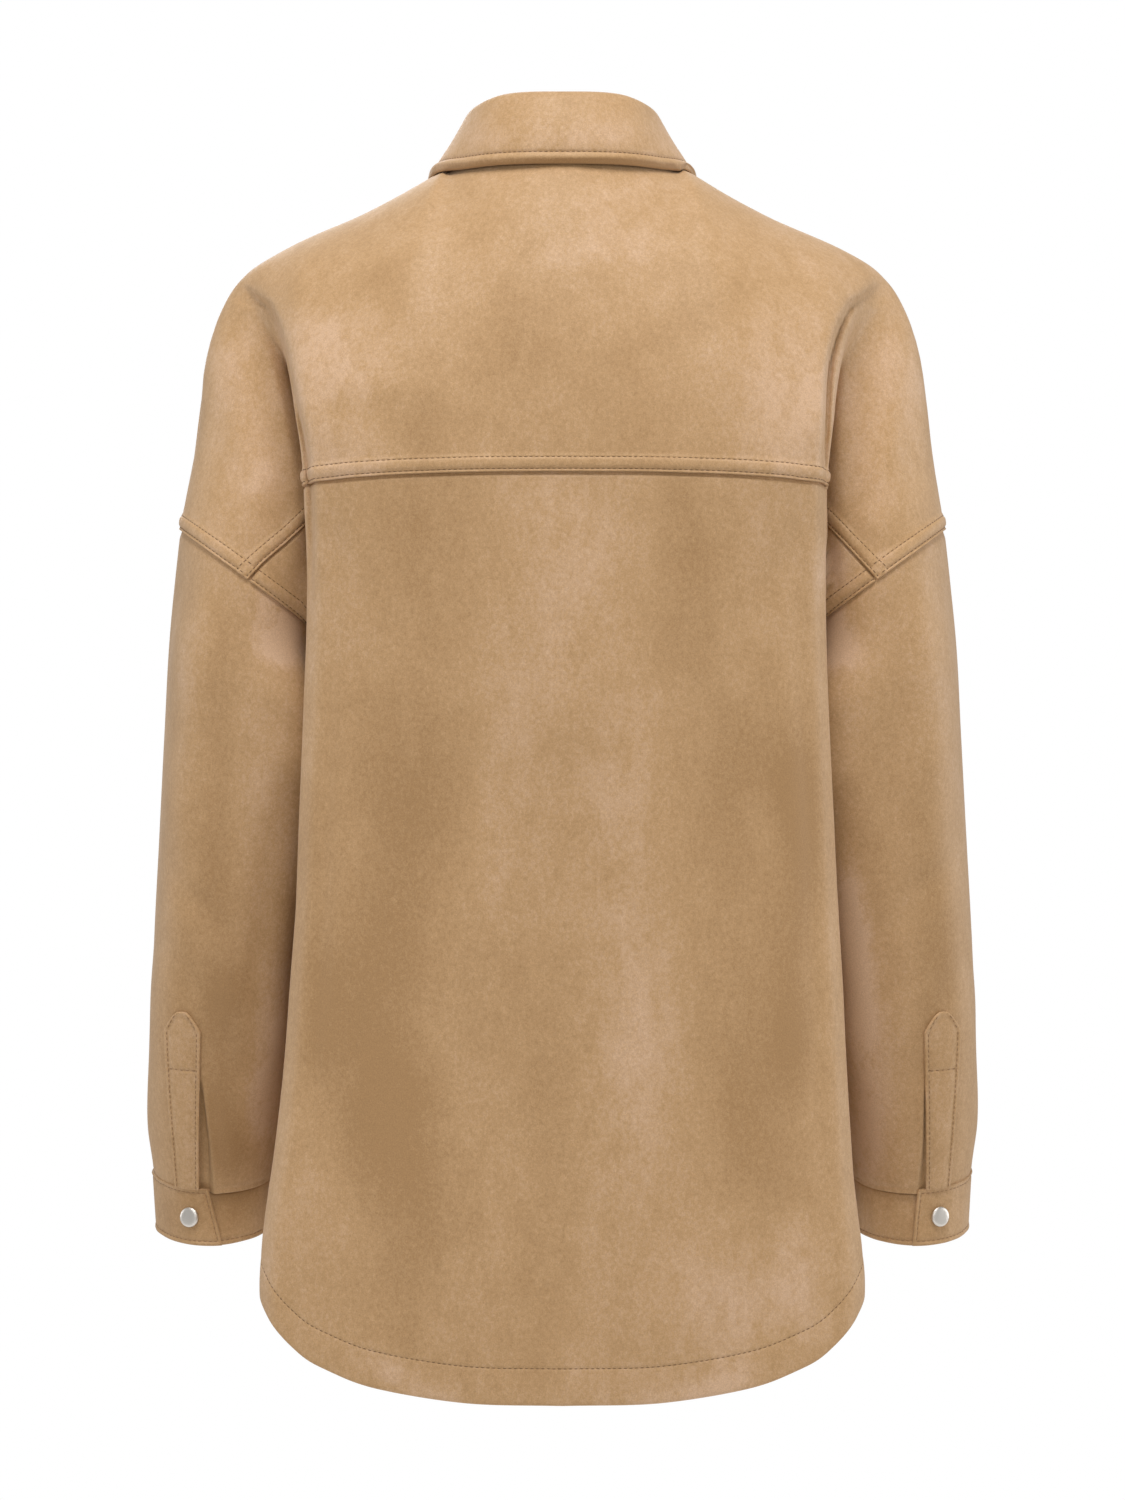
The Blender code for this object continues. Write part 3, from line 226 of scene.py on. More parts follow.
# %% Curves through tables
def smooth(knots, values, at):
    """Cubic pieces through the rows of a table, with each row's slope taken from its neighbours."""
    values, at = np.asarray(values, float), np.asarray(at, float)
    slopes = np.gradient(values, knots, axis=0)
    i = np.clip(np.searchsorted(knots, at, side="right") - 1, 0, len(knots) - 2)
    step = knots[i + 1] - knots[i]
    t = (at - knots[i]) / step
    if values.ndim > 1:
        t, step = t[..., None], step[..., None]
    return ((1 + 2 * t) * (1 - t) ** 2 * values[i] + t * (1 - t) ** 2 * step * slopes[i]
            + t ** 2 * (3 - 2 * t) * values[i + 1] - t ** 2 * (1 - t) * step * slopes[i + 1])


def points(rows, at, key="u"):
    """Points (x, y, z) of a table's curve."""
    return smooth(rows[key], np.stack([rows["x"], rows["y"], rows["z"]], axis=-1), at)


def ease(t):
    """0 before 0, 1 after 1 and a smooth S between."""
    t = np.clip(t, 0, 1)
    return t * t * (3 - 2 * t)


def bump(t):
    """A soft hill: 1 at 0, falling to 0 like a bell."""
    return np.exp(-t * t)


def unit(v):
    """Vectors of length 1 the same way: each divided by its own length."""
    return v / (np.linalg.norm(v, axis=-1, keepdims=True) + 1e-12)


def along(curves, lengths):
    """Points at given lengths along many polylines at once: curves (n, m, 3), lengths (n, k)."""
    run = np.cumsum(np.linalg.norm(np.diff(curves, axis=1), axis=2), axis=1)
    run = np.concatenate([np.zeros((len(curves), 1)), run], axis=1)
    i = np.clip((run[:, None, :] <= lengths[..., None]).sum(-1) - 1, 0, curves.shape[1] - 2)
    n = np.arange(len(curves))[:, None]
    t = (lengths - run[n, i]) / (run[n, i + 1] - run[n, i] + 1e-12)
    return curves[n, i] + t[..., None] * (curves[n, i + 1] - curves[n, i])


def lengths_of(curves):
    """Whole lengths of many polylines: the distances between neighbours, added up."""
    return np.linalg.norm(np.diff(curves, axis=1), axis=2).sum(axis=1)


# %% [markdown]
# ## The body's form
# Seen as cloth on a wearer, the body is a family of ribs. Each rib starts on the neckline or the shoulder seam,
# bends over the shoulder like a quarter circle and ends on the yoke seam (in front, on the chest line). Below the
# underarm the rows are level sections: a flat back, a deep fold at each side and the side seam hidden in it.
# `u` runs round the half body from the middle, 0, to the armhole and side seam, 1.

# %% Ribs from neck and shoulder
def neckline(angle):
    """The neck opening: an oval that dips in front and a little at the sides, by degrees from the centre back."""
    a = np.radians(angle)
    forward = np.maximum(-np.cos(a), 0)
    z = NECK["rise"] * np.maximum(np.cos(a), 0) - NECK["dip"] * forward ** 1.8 - NECK["side"] * np.sin(a) ** 2
    return np.stack([NECK["half_x"] * np.sin(a), NECK["y"] + NECK["half_y"] * np.cos(a), z], axis=-1)


def armhole(angle):
    """The armhole: a tilted ellipse, by degrees from its top round the back."""
    a = np.radians(angle)
    return np.stack([ARMHOLE["x"] + ARMHOLE["half_x"] * np.cos(a), ARMHOLE["y"] + ARMHOLE["half_y"] * np.sin(a),
                     ARMHOLE["z"] + ARMHOLE["tilt"] * np.cos(a)], axis=-1)


def bend(angle, swing, splay):
    """Shares of the way from the crest to the seam: sideways by 1 - cos, backwards by sin, down by 1 - cos.
    swing takes the sideways share to sin squared, for the side fold, and splay to sin, beside the neck."""
    rise = 1 - np.cos(angle)
    across = rise + (np.sin(angle) ** 2 - rise) * swing + (np.sin(angle) - rise) * splay
    return np.stack([across, np.sin(angle), rise], axis=-1)


def ribs(front, u, samples=97):
    """Polylines (u, samples, 3) from the neckline or shoulder seam to the yoke seam or chest line."""
    seam = points(CHEST if front else YOKE_SEAM, u)
    swing = np.interp(u, FOLD_SWING["u"], FOLD_SWING["swing"])
    splay = np.interp(u, NECK_SPLAY["u"], NECK_SPLAY["splay"])
    outer = np.maximum(u, NECK_U)
    crest = points(SHOULDER, outer)
    shoulder_seam = crest + (points(YOKE_SEAM, outer) - crest) * bend(np.full_like(u, SEAM_FORWARD), swing, splay)
    neck = FRONT_NECK if front else BACK_NECK
    angle = np.where(u < NECK_U, smooth(neck["u"], neck["angle"], np.minimum(u, NECK_U)), 100)
    first = np.radians(smooth(neck["u"], neck["start"], np.minimum(u, NECK_U)))
    corner = neckline(angle[-1]) - shoulder_seam[0]
    shoulder_seam = shoulder_seam + corner * (1 - ease((u - NECK_U) / 0.2))[:, None]
    start = np.where((u < NECK_U)[:, None], neckline(angle), shoulder_seam)
    turn = first[:, None] + (math.pi / 2 - first)[:, None] * np.linspace(0, 1, samples)
    share = bend(turn, swing[:, None], splay[:, None])
    top = (start - seam * share[:, 0]) / (1 - share[:, 0])
    return top[:, None] + (seam - top)[:, None] * share


def torso(front, u, z):
    """Points of the level sections below the underarm."""
    def size(name):
        return smooth(TORSO["z"][::-1], TORSO[name][::-1], z)

    def share(name):
        return smooth(SECTION["u"], SECTION[name], u)

    which = "front" if front else "back"
    mid_y, side_y = share("mid_y"), share("side_y")
    x = share("edge_x") * size(which + "_edge") + share("side_x") * size("side")
    y = mid_y * size(which + "_y") + (1 - mid_y - side_y) * size(which + "_edge_y") + side_y * size("side_y")
    return np.stack([x, y, z], axis=-1)


# %% [markdown]
# Near a seam the cloth changes within a millimetre: a rolled edge, a stitch groove, the puff of the band. So each
# sheet has close rows and columns there, given as distances from the edge, and wide ones elsewhere.

# %% Rows and columns of a sheet
CLOSE = np.array([0.3, 0.7, 1.1, 1.5, 1.9, 2.4, 3.2, 4.4, 5.8, 7.0, 7.8, 8.3, 8.7, 9.1, 9.6, 10.2, 11.2, 12.6]) * MM
HEM_CLOSE = np.array([0.3, 0.8, 1.6, 3.5, 7, 11, 15, 18.5, 20.5, 21.7, 22.4, 23, 23.6, 24.3, 25.5, 28]) * MM
FINE_U = np.linspace(0, 1, 301)
INNER_U = np.concatenate([np.linspace(0, 0.56, 62), np.linspace(0.568, FOLD_OUT_U, 30)])
OUTER_SHARES = np.linspace(0.08, 0.98, 11)
UNDER_CLOSE = np.array([0.006, 0.012, 0.020, 0.030, 0.044, 0.066])   # just below the yoke seam, as shares
ROWS = {"shoulder": 58, "underarm": 14, "torso": 96}


def half_sheet(front):
    """The wearer's left half of a sheet as (rows, columns, 3), and the numbers of its chest and underarm rows."""
    u = FINE_U
    rib = ribs(front, u)
    whole = lengths_of(rib)[:, None]
    if front:
        stops = np.linspace(0, 1, ROWS["shoulder"])[None] * whole
    else:
        stops = np.linspace(0, 1, ROWS["shoulder"])[None, :-1] * (whole - CLOSE[-1])
        stops = np.concatenate([stops, whole - CLOSE[::-1], whole], axis=1)
    upper = along(rib, stops).transpose(1, 0, 2)
    share = np.concatenate([UNDER_CLOSE, np.linspace(0.10, 1, ROWS["underarm"])])[:, None, None]
    low = smooth(UNDERARM["u"], UNDERARM["z"], u)
    under = upper[-1] + (torso(front, u, low) - upper[-1]) * share
    follow = np.clip((u - CREASE_U) / (1 - CREASE_U), 0, 1)[None, :, None]
    turn = (90 + 90 * share[:, 0, 0]) * (-1 if front else 1)
    under = under + follow * (armhole(turn)[:, None] - under[:, -1:])
    hem = smooth(HEM["u"], HEM["front" if front else "back"], u)
    levels = np.linspace(0, 1, ROWS["torso"] + 1)[1:-1, None]
    z = np.concatenate([low + (hem + HEM_CLOSE[-1] - low) * levels, hem + HEM_CLOSE[::-1, None]])
    below = torso(front, u[None] + 0 * z, z)
    rows = np.concatenate([upper, under, below])
    # Columns: fixed u from the middle to the fold, then by length to the armhole and side seam.
    k = np.clip(np.searchsorted(u, INNER_U, side="right") - 1, 0, len(u) - 2)
    t = ((INNER_U - u[k]) / (u[k + 1] - u[k]))[None, :, None]
    inner = rows[:, k] + t * (rows[:, k + 1] - rows[:, k])
    outer = rows[:, np.searchsorted(u, FOLD_OUT_U - 1e-9):]
    whole = lengths_of(outer)[:, None]
    close = CLOSE[None, ::-1] * np.minimum(1, 0.6 * whole / CLOSE[-1])
    stops = np.concatenate([OUTER_SHARES * (whole - close[:, :1]), whole - close], axis=1)
    return np.concatenate([inner, along(outer, stops)], axis=1), len(upper) - 1, len(upper) + len(under) - 1


def mirrored(half):
    """The whole width from the left half."""
    return np.concatenate([half[:, :0:-1] * (-1, 1, 1), half], axis=1)


back_half, SEAM_ROW, BACK_ARM_ROW = half_sheet(False)
front_half, _, FRONT_ARM_ROW = half_sheet(True)
back, front = mirrored(back_half), mirrored(front_half)
MIDDLE = back_half.shape[1] - 1
print("back sheet", back.shape, "front sheet", front.shape)


# %% [markdown]
# ## Creases
# Worn cloth is never a plain surface. Each crease is a soft trough or ridge along a line, drawn on the sheet as it is
# seen from the back, the front or the side. It has its own width and depth, wavers a little along its way, and
# fades at both ends. A few long slow waves are added on top, so that no stretch stays quite flat.

# %% Creases and waves
def creases(across, down, lines, waver=0.25):
    """Height of all creases at points (across, down): a bell across each line, an S at its ends, and a slow
    wobble of its depth and place along the way."""
    height = np.zeros(np.broadcast(across, down).shape)
    for number, (x0, z0, x1, z1, width, depth) in enumerate(np.stack(list(lines.values()), axis=-1)):
        run = math.hypot(x1 - x0, z1 - z0)
        dx, dz = (x1 - x0) / run, (z1 - z0) / run
        t = ((across - x0) * dx + (down - z0) * dz) / run
        off = (across - x0) * dz - (down - z0) * dx
        phase = 2.4 * number
        off = off + width * waver * np.sin(5.1 * t + phase) + 0.4 * width * waver * np.sin(13 * t + 2 * phase)
        ends = ease(t / 0.3 + 0.5) * ease((1 - t) / 0.3 + 0.5)
        uneven = 1 + 0.3 * np.sin(7.3 * t + 1.7 * phase)
        height += depth * ends * uneven * bump(off / width)
    return height


def waves(across, down, sizes, seed):
    """A few crossing sine waves of different length: slow unevenness, mostly up and down the cloth."""
    draw = np.random.default_rng(seed)
    height = np.zeros(np.broadcast(across, down).shape)
    for length, tall in zip(sizes["length"], sizes["tall"]):
        for _ in range(3):
            turn, phase = draw.uniform(-0.5, 0.5), draw.uniform(0, 2 * math.pi, 2)
            height += tall / 3 * (np.sin(2 * math.pi / length * (across * math.cos(turn) + 0.35 * down * math.sin(turn))
                                         + phase[0] + 0.8 * np.sin(down / length + phase[1])))
    return height


def normals_of(grid):
    """Unit normals at a grid's points, from its own differences."""
    return unit(np.cross(np.gradient(grid, axis=0), np.gradient(grid, axis=1)))


def outward_normals(sheet):
    """Unit normals of a body sheet, on the side away from the body's middle."""
    n = normals_of(sheet)
    return n * np.sign((n * (sheet - BODY_MIDDLE)).sum())


def swells(across, down, rows):
    """Height of wide hills and hollows: an oval bell round each middle, depth x bump(x / wide) x bump(z / tall)."""
    across, down = across[..., None], down[..., None]
    return (rows["depth"] * bump((across - rows["x"]) / rows["wide"]) * bump((down - rows["z"]) / rows["tall"])).sum(-1)


CREASE = "x0 z0 x1 z1 width depth"
CLOTH_WAVES = table("length tall", (0.11, 0.0010), (0.055, 0.0005))
BACK_SWELLS = table("x z wide tall depth",
                    (0.142, -0.182, 0.042, 0.066, 0.0080), (-0.138, -0.182, 0.044, 0.066, 0.0082),
                    (0.000, -0.200, 0.060, 0.070, -0.0030), (0.010, -0.300, 0.040, 0.090, 0.0020),
                    (-0.075, -0.520, 0.045, 0.150, 0.0025), (0.115, -0.420, 0.035, 0.120, -0.0020),
                    (-0.150, -0.400, 0.030, 0.140, -0.0020), (0.060, -0.650, 0.050, 0.070, 0.0020))
CAP_CREASES = table(CREASE,
                    (0.186, -0.110, 0.182, -0.185, 0.010, -0.0030), (0.196, -0.150, 0.190, -0.235, 0.013, 0.0022),
                    (-0.187, -0.105, -0.184, -0.180, 0.010, -0.0026), (-0.197, -0.155, -0.191, -0.230, 0.012, 0.0024),
                    (0.214, -0.120, 0.216, -0.190, 0.008, -0.0010), (-0.214, -0.128, -0.217, -0.200, 0.008, -0.0012))
BACK_CREASES = table(CREASE,
                     (0.046, -0.42, 0.058, -0.72, 0.020, 0.0019), (0.010, -0.40, 0.014, -0.70, 0.018, -0.0020),
                     (-0.034, -0.36, -0.056, -0.76, 0.022, 0.0021), (-0.085, -0.30, -0.100, -0.58, 0.020, -0.0018),
                     (0.090, -0.28, 0.096, -0.62, 0.022, -0.0018), (0.125, -0.24, 0.135, -0.52, 0.014, 0.0012),
                     (-0.128, -0.24, -0.138, -0.56, 0.014, 0.0014), (-0.120, -0.60, -0.075, -0.735, 0.020, 0.0016),
                     (0.140, -0.56, 0.110, -0.70, 0.014, -0.0012), (0.150, -0.222, 0.118, -0.275, 0.009, -0.0012),
                     (-0.150, -0.222, -0.114, -0.285, 0.009, -0.0013), (0.0, -0.21, -0.012, -0.36, 0.022, 0.0012))
YOKE_CREASES = table(CREASE,
                     (0.105, -0.055, 0.120, -0.150, 0.034, 0.0024), (-0.105, -0.055, -0.122, -0.150, 0.034, 0.0024),
                     (0.165, -0.065, 0.150, -0.175, 0.012, 0.0016),
                     (-0.166, -0.065, -0.151, -0.175, 0.012, 0.0016), (0.060, -0.020, 0.100, -0.060, 0.010, -0.0008),
                     (-0.058, -0.022, -0.102, -0.066, 0.010, -0.0008))
FRONT_CREASES = table(CREASE,
                      (0.060, -0.10, 0.105, -0.23, 0.022, 0.0022), (-0.062, -0.10, -0.108, -0.23, 0.022, 0.0022),
                      (0.115, -0.23, 0.070, -0.36, 0.012, -0.0018), (-0.112, -0.24, -0.066, -0.35, 0.012, -0.0016),
                      (0.055, -0.36, 0.070, -0.66, 0.022, -0.0020), (-0.060, -0.38, -0.064, -0.68, 0.024, -0.0021),
                      (0.100, -0.34, 0.116, -0.62, 0.018, 0.0018), (-0.102, -0.36, -0.118, -0.64, 0.018, 0.0019),
                      (0.034, -0.50, 0.044, -0.72, 0.014, 0.0012), (-0.036, -0.46, -0.040, -0.70, 0.015, 0.0013))

BODY_MIDDLE = (0, 0, -0.35)
back_n, front_n = outward_normals(back), outward_normals(front)


def settle(grid, normals, lines, seed, edges):
    """The sheet with its creases and waves, held still where `edges` is 0."""
    height = creases(grid[..., 0], grid[..., 2], lines) + waves(grid[..., 0], grid[..., 2], CLOTH_WAVES, seed)
    return grid + normals * (height * edges)[..., None]


# How far each side fold lies from its mirrored place, sideways in metres, and the line of the fold on the shoulder.
SIDES = table("z left right", (-0.130, -0.0010, 0.0000), (-0.160, -0.0035, 0.0005), (-0.200, -0.0060, 0.0020),
              (-0.260, -0.0055, 0.0000), (-0.330, -0.0036, -0.0018), (-0.410, -0.0030, -0.0035),
              (-0.460, -0.0030, -0.0037), (-0.510, -0.0014, -0.0037), (-0.560, -0.0003, -0.0030),
              (-0.600, 0.0009, -0.0022), (-0.628, 0.0014, -0.0009), (-0.650, 0.0006, 0.0), (-0.680, 0.0, 0.0))
FOLD_LINE = table("z left right depth", (-0.0740, 0.1960, 0.1940, 0.0), (-0.0808, 0.1900, 0.1860, 0.0026),
                  (-0.0898, 0.1795, 0.1735, 0.0052), (-0.1020, 0.1738, 0.1672, 0.0080),
                  (-0.1141, 0.1698, 0.1628, 0.0100), (-0.1262, 0.1662, 0.1594, 0.0112),
                  (-0.1383, 0.1638, 0.1582, 0.0120), (-0.1626, 0.1598, 0.1572, 0.0120),
                  (-0.1869, 0.1574, 0.1578, 0.0100), (-0.2110, 0.1552, 0.1590, 0.0085),
                  (-0.2450, 0.1550, 0.1590, 0.0075), (-0.2750, 0.1550, 0.1590, 0.0))


def by_side(rows, grid):
    """A table's left or right value at each point's level."""
    z = -grid[..., 2]
    return np.where(grid[..., 0] > 0, np.interp(z, -rows["z"], rows["left"]), np.interp(z, -rows["z"], rows["right"]))


def shoulder_fold(grid):
    """Depth of the shoulder's fold: past its line a sharp lip falls in 3 mm and rises again over 12 mm, deepest
    right behind the line, and just before the line a low round ridge keeps the cloth facing outwards."""
    z = -grid[..., 2]
    slope = np.hypot(1, np.gradient(by_side(FOLD_LINE, grid), axis=0) / (np.gradient(grid[..., 2], axis=0) - 1e-9))
    past = (np.abs(grid[..., 0]) - by_side(FOLD_LINE, grid)) / np.clip(slope, 1, 2)
    deep = np.interp(z, -FOLD_LINE["z"], FOLD_LINE["depth"])
    lip = ease(past / (3 * MM)) * (1 - ease((past - 2.5 * MM) / (12 * MM)))
    slot = ease(past / (2.5 * MM)) * (1 - ease((past - 2.5 * MM) / (4 * MM)))
    return 1.5 * MM * ease(deep / (8 * MM)) * bump((past + 1 * MM) / (6 * MM)) - deep * (lip + 0.7 * slot)


def pressed(grid):
    """Height left by the collar's weight: a bell-shaped dent round a line a few millimetres inside its edge."""
    angle = np.linspace(-170, 170, 241)
    line = points(LEAF_EDGE, np.abs(angle), key="angle")
    line[:, 0] *= np.sign(angle)
    line[:, :2] *= 0.955
    away = np.linalg.norm(grid[..., None, :] - line, axis=-1).min(axis=-1)
    return -1.5 * MM * bump(away / (4.5 * MM))


# The folds die out at the neck, along the armhole, deep in the side fold and at the side seam.
SIDE_X = 0.150    # how far out the side folds lie
NEAR_NECK = 64    # rows that the collar can reach
columns = np.abs(np.arange(back.shape[1]) - MIDDLE)
inner_count = len(INNER_U)
column_u = np.interp(columns, np.arange(inner_count), INNER_U)
still = 1 - ease((column_u - 0.60) / 0.08)
beyond = ease((columns - inner_count) / 4) * (1 - ease((columns - MIDDLE + 9) / 5))
back_rows, front_rows = np.arange(len(back)), np.arange(len(front))
from_seams = (ease(back_rows / 16) * (1 - 0.5 * ease((back_rows - len(back) + 24) / 20)))[:, None]
back = back + back_n * (swells(back[..., 0], back[..., 2], BACK_SWELLS) * still[None] * from_seams)[..., None]
back = back + back_n * (creases(back[..., 0], back[..., 2], CAP_CREASES) * beyond[None] * from_seams)[..., None]
before_arm = 1 - ease((columns - MIDDLE + 12) / 8)
in_fold = 1 - ease((columns - inner_count - 1) / 10)
from_middle = np.clip(np.abs(back[..., 0]) / SIDE_X, 0, 1)
middle_aside = sum(np.interp(-back[..., 2], -SIDES["z"], SIDES[name]) for name in ("left", "right")) / 2
aside = by_side(SIDES, back) * from_middle + middle_aside * (1 - from_middle)
back = back + np.stack([aside * in_fold[None], shoulder_fold(back) * before_arm[None], 0 * aside], axis=-1)
back = settle(back, back_n, YOKE_CREASES, 3, still[None] * (
    ease(back_rows / 16) * (1 - ease((back_rows - SEAM_ROW + 26) / 20)))[:, None])
back = settle(back, back_n, BACK_CREASES, 5, still[None] * (
    ease((back_rows - SEAM_ROW) / 14) * (1 - 0.55 * ease((back_rows - len(back) + 24) / 20)))[:, None])
front = settle(front, front_n, FRONT_CREASES, 8, (still * ease((columns - 9) / 12))[None] * (
    ease(front_rows / 16) * (1 - 0.55 * ease((front_rows - len(front) + 24) / 20)))[:, None])
for sheet in (back, front):
    sheet[:NEAR_NECK, :, 2] += pressed(sheet[:NEAR_NECK])
back_n, front_n = outward_normals(back), outward_normals(front)
print("creases:", len(BACK_CREASES["x0"]) + len(YOKE_CREASES["x0"]) + len(FRONT_CREASES["x0"]))


# %% [markdown]
# ## One shell of cloth
# A real edge of suede is never sharp: it is folded and rolls over. So a piece is a middle sheet with a half
# thickness. At each free edge three more rows swing round a quarter ellipse, from the full thickness to none, and
# there the outer and inner faces share their points. Every piece also gets a UV map called `cut`, in metres along
# the cloth, as a pattern lies flat, and at each point a stroke value: how far its colour is made lighter or darker,
# partly as painted highlight and painted shade and partly as a lighter or darker nap.

# %% Rolled edges, faces and the cut map
ROLL = np.radians([90, 62, 32])
collection = bpy.data.collections.new("suede_shirt_jacket")
scene.collection.children.link(collection)


def rolled(mid, half, cut, axis, reach):
    """Adds three rows at both ends of an axis: out by reach x sin, thinner by cos of the roll angle."""
    mid, half, cut = (np.swapaxes(a, 0, axis) for a in (mid, half, cut))
    for end, beside in ((0, 1), (-1, -2)):
        way = unit(mid[end] - mid[beside])
        far = reach[end]
        if far is None:
            far = np.linalg.norm(half[end], axis=-1, keepdims=True)
        rows = [(mid[end] + way * far * math.sin(a), half[end] * max(math.cos(a), 0),
                 cut[end] + unit(cut[end] - cut[beside]) * MM * math.sin(a)) for a in ROLL]
        extra = [np.array(group) for group in zip(*rows)]
        if end == 0:
            mid, half, cut = (np.concatenate([e, a]) for e, a in zip(extra, (mid, half, cut)))
        else:
            mid, half, cut = (np.concatenate([a, e[::-1]]) for e, a in zip(extra, (mid, half, cut)))
    return tuple(np.swapaxes(a, 0, axis) for a in (mid, half, cut))


def face_normals(grid):
    """Normals of a grid's faces, twice as long as the faces are large: the cross product of their diagonals."""
    return np.cross(grid[1:, 1:] - grid[:-1, :-1], grid[1:, :-1] - grid[:-1, 1:])


def corners(a):
    """The four corner values of each face of a grid."""
    return np.stack([a[:-1, :-1], a[:-1, 1:], a[1:, 1:], a[1:, :-1]], axis=2).reshape((-1, 4) + a.shape[2:])


def tube_faces(number):
    """Faces round a tube from its points' numbers, ring by ring: the last column joins the first."""
    return corners(np.concatenate([number, number[:, :1]], axis=1))[:, [0, 3, 2, 1]]


def cut_map(grid):
    """Lengths in metres across and down the cloth at each point, from the sheet's middle column and top."""
    across = np.cumsum(np.linalg.norm(np.diff(grid, axis=1), axis=2), axis=1)
    across = np.concatenate([np.zeros((len(grid), 1)), across], axis=1)
    across -= across[:, grid.shape[1] // 2, None]
    down = np.cumsum(np.linalg.norm(np.diff(grid, axis=0), axis=2), axis=0)
    down = np.concatenate([np.zeros((1, grid.shape[1])), down])
    return np.stack([across, -down], axis=-1)


# %% Strokes of nap, painted highlight and painted shade
STROKE = "x0 z0 x1 z1 width lift"
# Strokes that make a piece's nap colour lighter (lift above 0) or darker (below 0): painted highlights and painted
# shade, and in part a lighter or darker nap.
NAP_AND_PAINTED_LIGHT = {
    # Yoke: painted highlights over the shoulder blades, near the neck and at the shoulders' outer ends, and painted
    # shade in its middle.
    "yoke_cloth": table(
        STROKE,
        (0.128, -0.100, 0.144, -0.200, 0.034, 0.40), (-0.126, -0.100, -0.142, -0.200, 0.036, 0.40),
        (-0.020, -0.020, -0.030, -0.070, 0.040, 0.20), (0.110, -0.070, 0.094, -0.090, 0.014, -0.18),
        (0.074, -0.130, 0.088, -0.200, 0.030, -0.22), (-0.050, -0.110, -0.064, -0.200, 0.030, -0.18),
        (0.006, -0.090, 0.008, -0.200, 0.024, -0.12), (0.030, -0.080, 0.030, -0.150, 0.024, -0.20),
        (0.205, -0.110, 0.196, -0.215, 0.016, 0.25), (-0.205, -0.100, -0.194, -0.215, 0.020, 0.25)),
    # Back: painted light and shade beside the side folds and painted shade towards the sides; streaks down the middle,
    # partly painted light and shade of soft folds and partly a lighter or darker nap; a lighter strip along the hem.
    "back_cloth": table(
        STROKE,
        (-0.006, -0.180, -0.026, -0.400, 0.032, 0.18), (-0.034, -0.400, -0.044, -0.640, 0.026, 0.28),
        (0.030, -0.300, 0.040, -0.460, 0.013, 0.10), (0.058, -0.530, 0.078, -0.730, 0.018, 0.22),
        (0.112, -0.340, 0.114, -0.620, 0.036, -0.42), (-0.106, -0.340, -0.110, -0.640, 0.030, -0.36),
        (0.090, -0.540, 0.100, -0.750, 0.032, -0.40), (0.052, -0.480, 0.056, -0.640, 0.020, -0.14),
        (0.080, -0.195, 0.084, -0.420, 0.026, -0.20), (-0.070, -0.195, -0.074, -0.320, 0.018, -0.26),
        (-0.060, -0.670, -0.130, -0.710, 0.026, 0.30), (0.014, -0.500, 0.012, -0.740, 0.018, -0.12),
        (0.130, -0.728, 0.060, -0.757, 0.013, 0.50), (-0.045, -0.760, -0.115, -0.742, 0.013, 0.50),
        (0.158, -0.240, 0.176, -0.262, 0.013, -0.10), (-0.158, -0.240, -0.176, -0.262, 0.013, 0.50),
        (0.148, -0.400, 0.150, -0.560, 0.012, -0.30), (-0.142, -0.360, -0.140, -0.560, 0.014, -0.55),
        (-0.140, -0.640, -0.146, -0.720, 0.014, 0.30)),
    # Sleeves: painted light on the side next to the body, which lies in the body's shade, and lighter and darker
    # streaks down the back of the sleeve, painted light and shade of its folds.
    "sleeve_left_cloth": table(
        STROKE,
        (0.222, -0.270, 0.228, -0.560, 0.010, 0.25), (0.218, -0.280, 0.232, -0.610, 0.022, -0.34),
        (0.170, -0.250, 0.172, -0.310, 0.012, 0.90), (0.186, -0.320, 0.190, -0.500, 0.014, 0.12),
        (0.176, -0.500, 0.187, -0.620, 0.011, 0.60), (0.208, -0.500, 0.210, -0.625, 0.016, -0.50)),
    "sleeve_right_cloth": table(
        STROKE,
        (-0.164, -0.240, -0.166, -0.310, 0.011, 0.90), (-0.222, -0.360, -0.232, -0.600, 0.014, -0.30),
        (-0.192, -0.320, -0.196, -0.520, 0.012, -0.16), (-0.178, -0.440, -0.188, -0.620, 0.011, 0.80)),
    "cuff_left_cloth": table(
        STROKE,
        (0.190, -0.645, 0.250, -0.645, 0.022, -0.45)),
    # Collar leaf: painted shade under the roll of its lower edge, and lighter patches higher up.
    "collar_leaf_cloth": table(
        STROKE,
        (-0.064, -0.0080, 0.064, -0.0080, 0.0042, -1.4), (0.064, -0.0080, 0.086, -0.0150, 0.0042, -1.4),
        (-0.064, -0.0080, -0.086, -0.0150, 0.0042, -1.4), (-0.050, 0.010, 0.050, 0.010, 0.010, 0.25),
        (-0.080, -0.001, -0.060, 0.030, 0.016, 0.30), (0.080, -0.001, 0.060, 0.030, 0.016, 0.20)),
    "front_left_cloth": table(
        STROKE,
        (0.060, -0.160, 0.052, -0.420, 0.024, 0.34), (0.100, -0.280, 0.104, -0.560, 0.020, -0.34),
        (0.048, -0.470, 0.060, -0.680, 0.020, -0.26), (0.112, -0.600, 0.080, -0.700, 0.022, 0.30),
        (0.120, -0.080, 0.138, -0.170, 0.028, 0.40)),
    "front_right_cloth": table(
        STROKE,
        (-0.070, -0.150, -0.062, -0.380, 0.020, -0.28), (-0.046, -0.330, -0.058, -0.600, 0.022, 0.34),
        (-0.108, -0.330, -0.112, -0.620, 0.022, -0.34), (-0.100, -0.640, -0.060, -0.720, 0.022, 0.26),
        (-0.120, -0.080, -0.138, -0.170, 0.028, 0.40)),
}


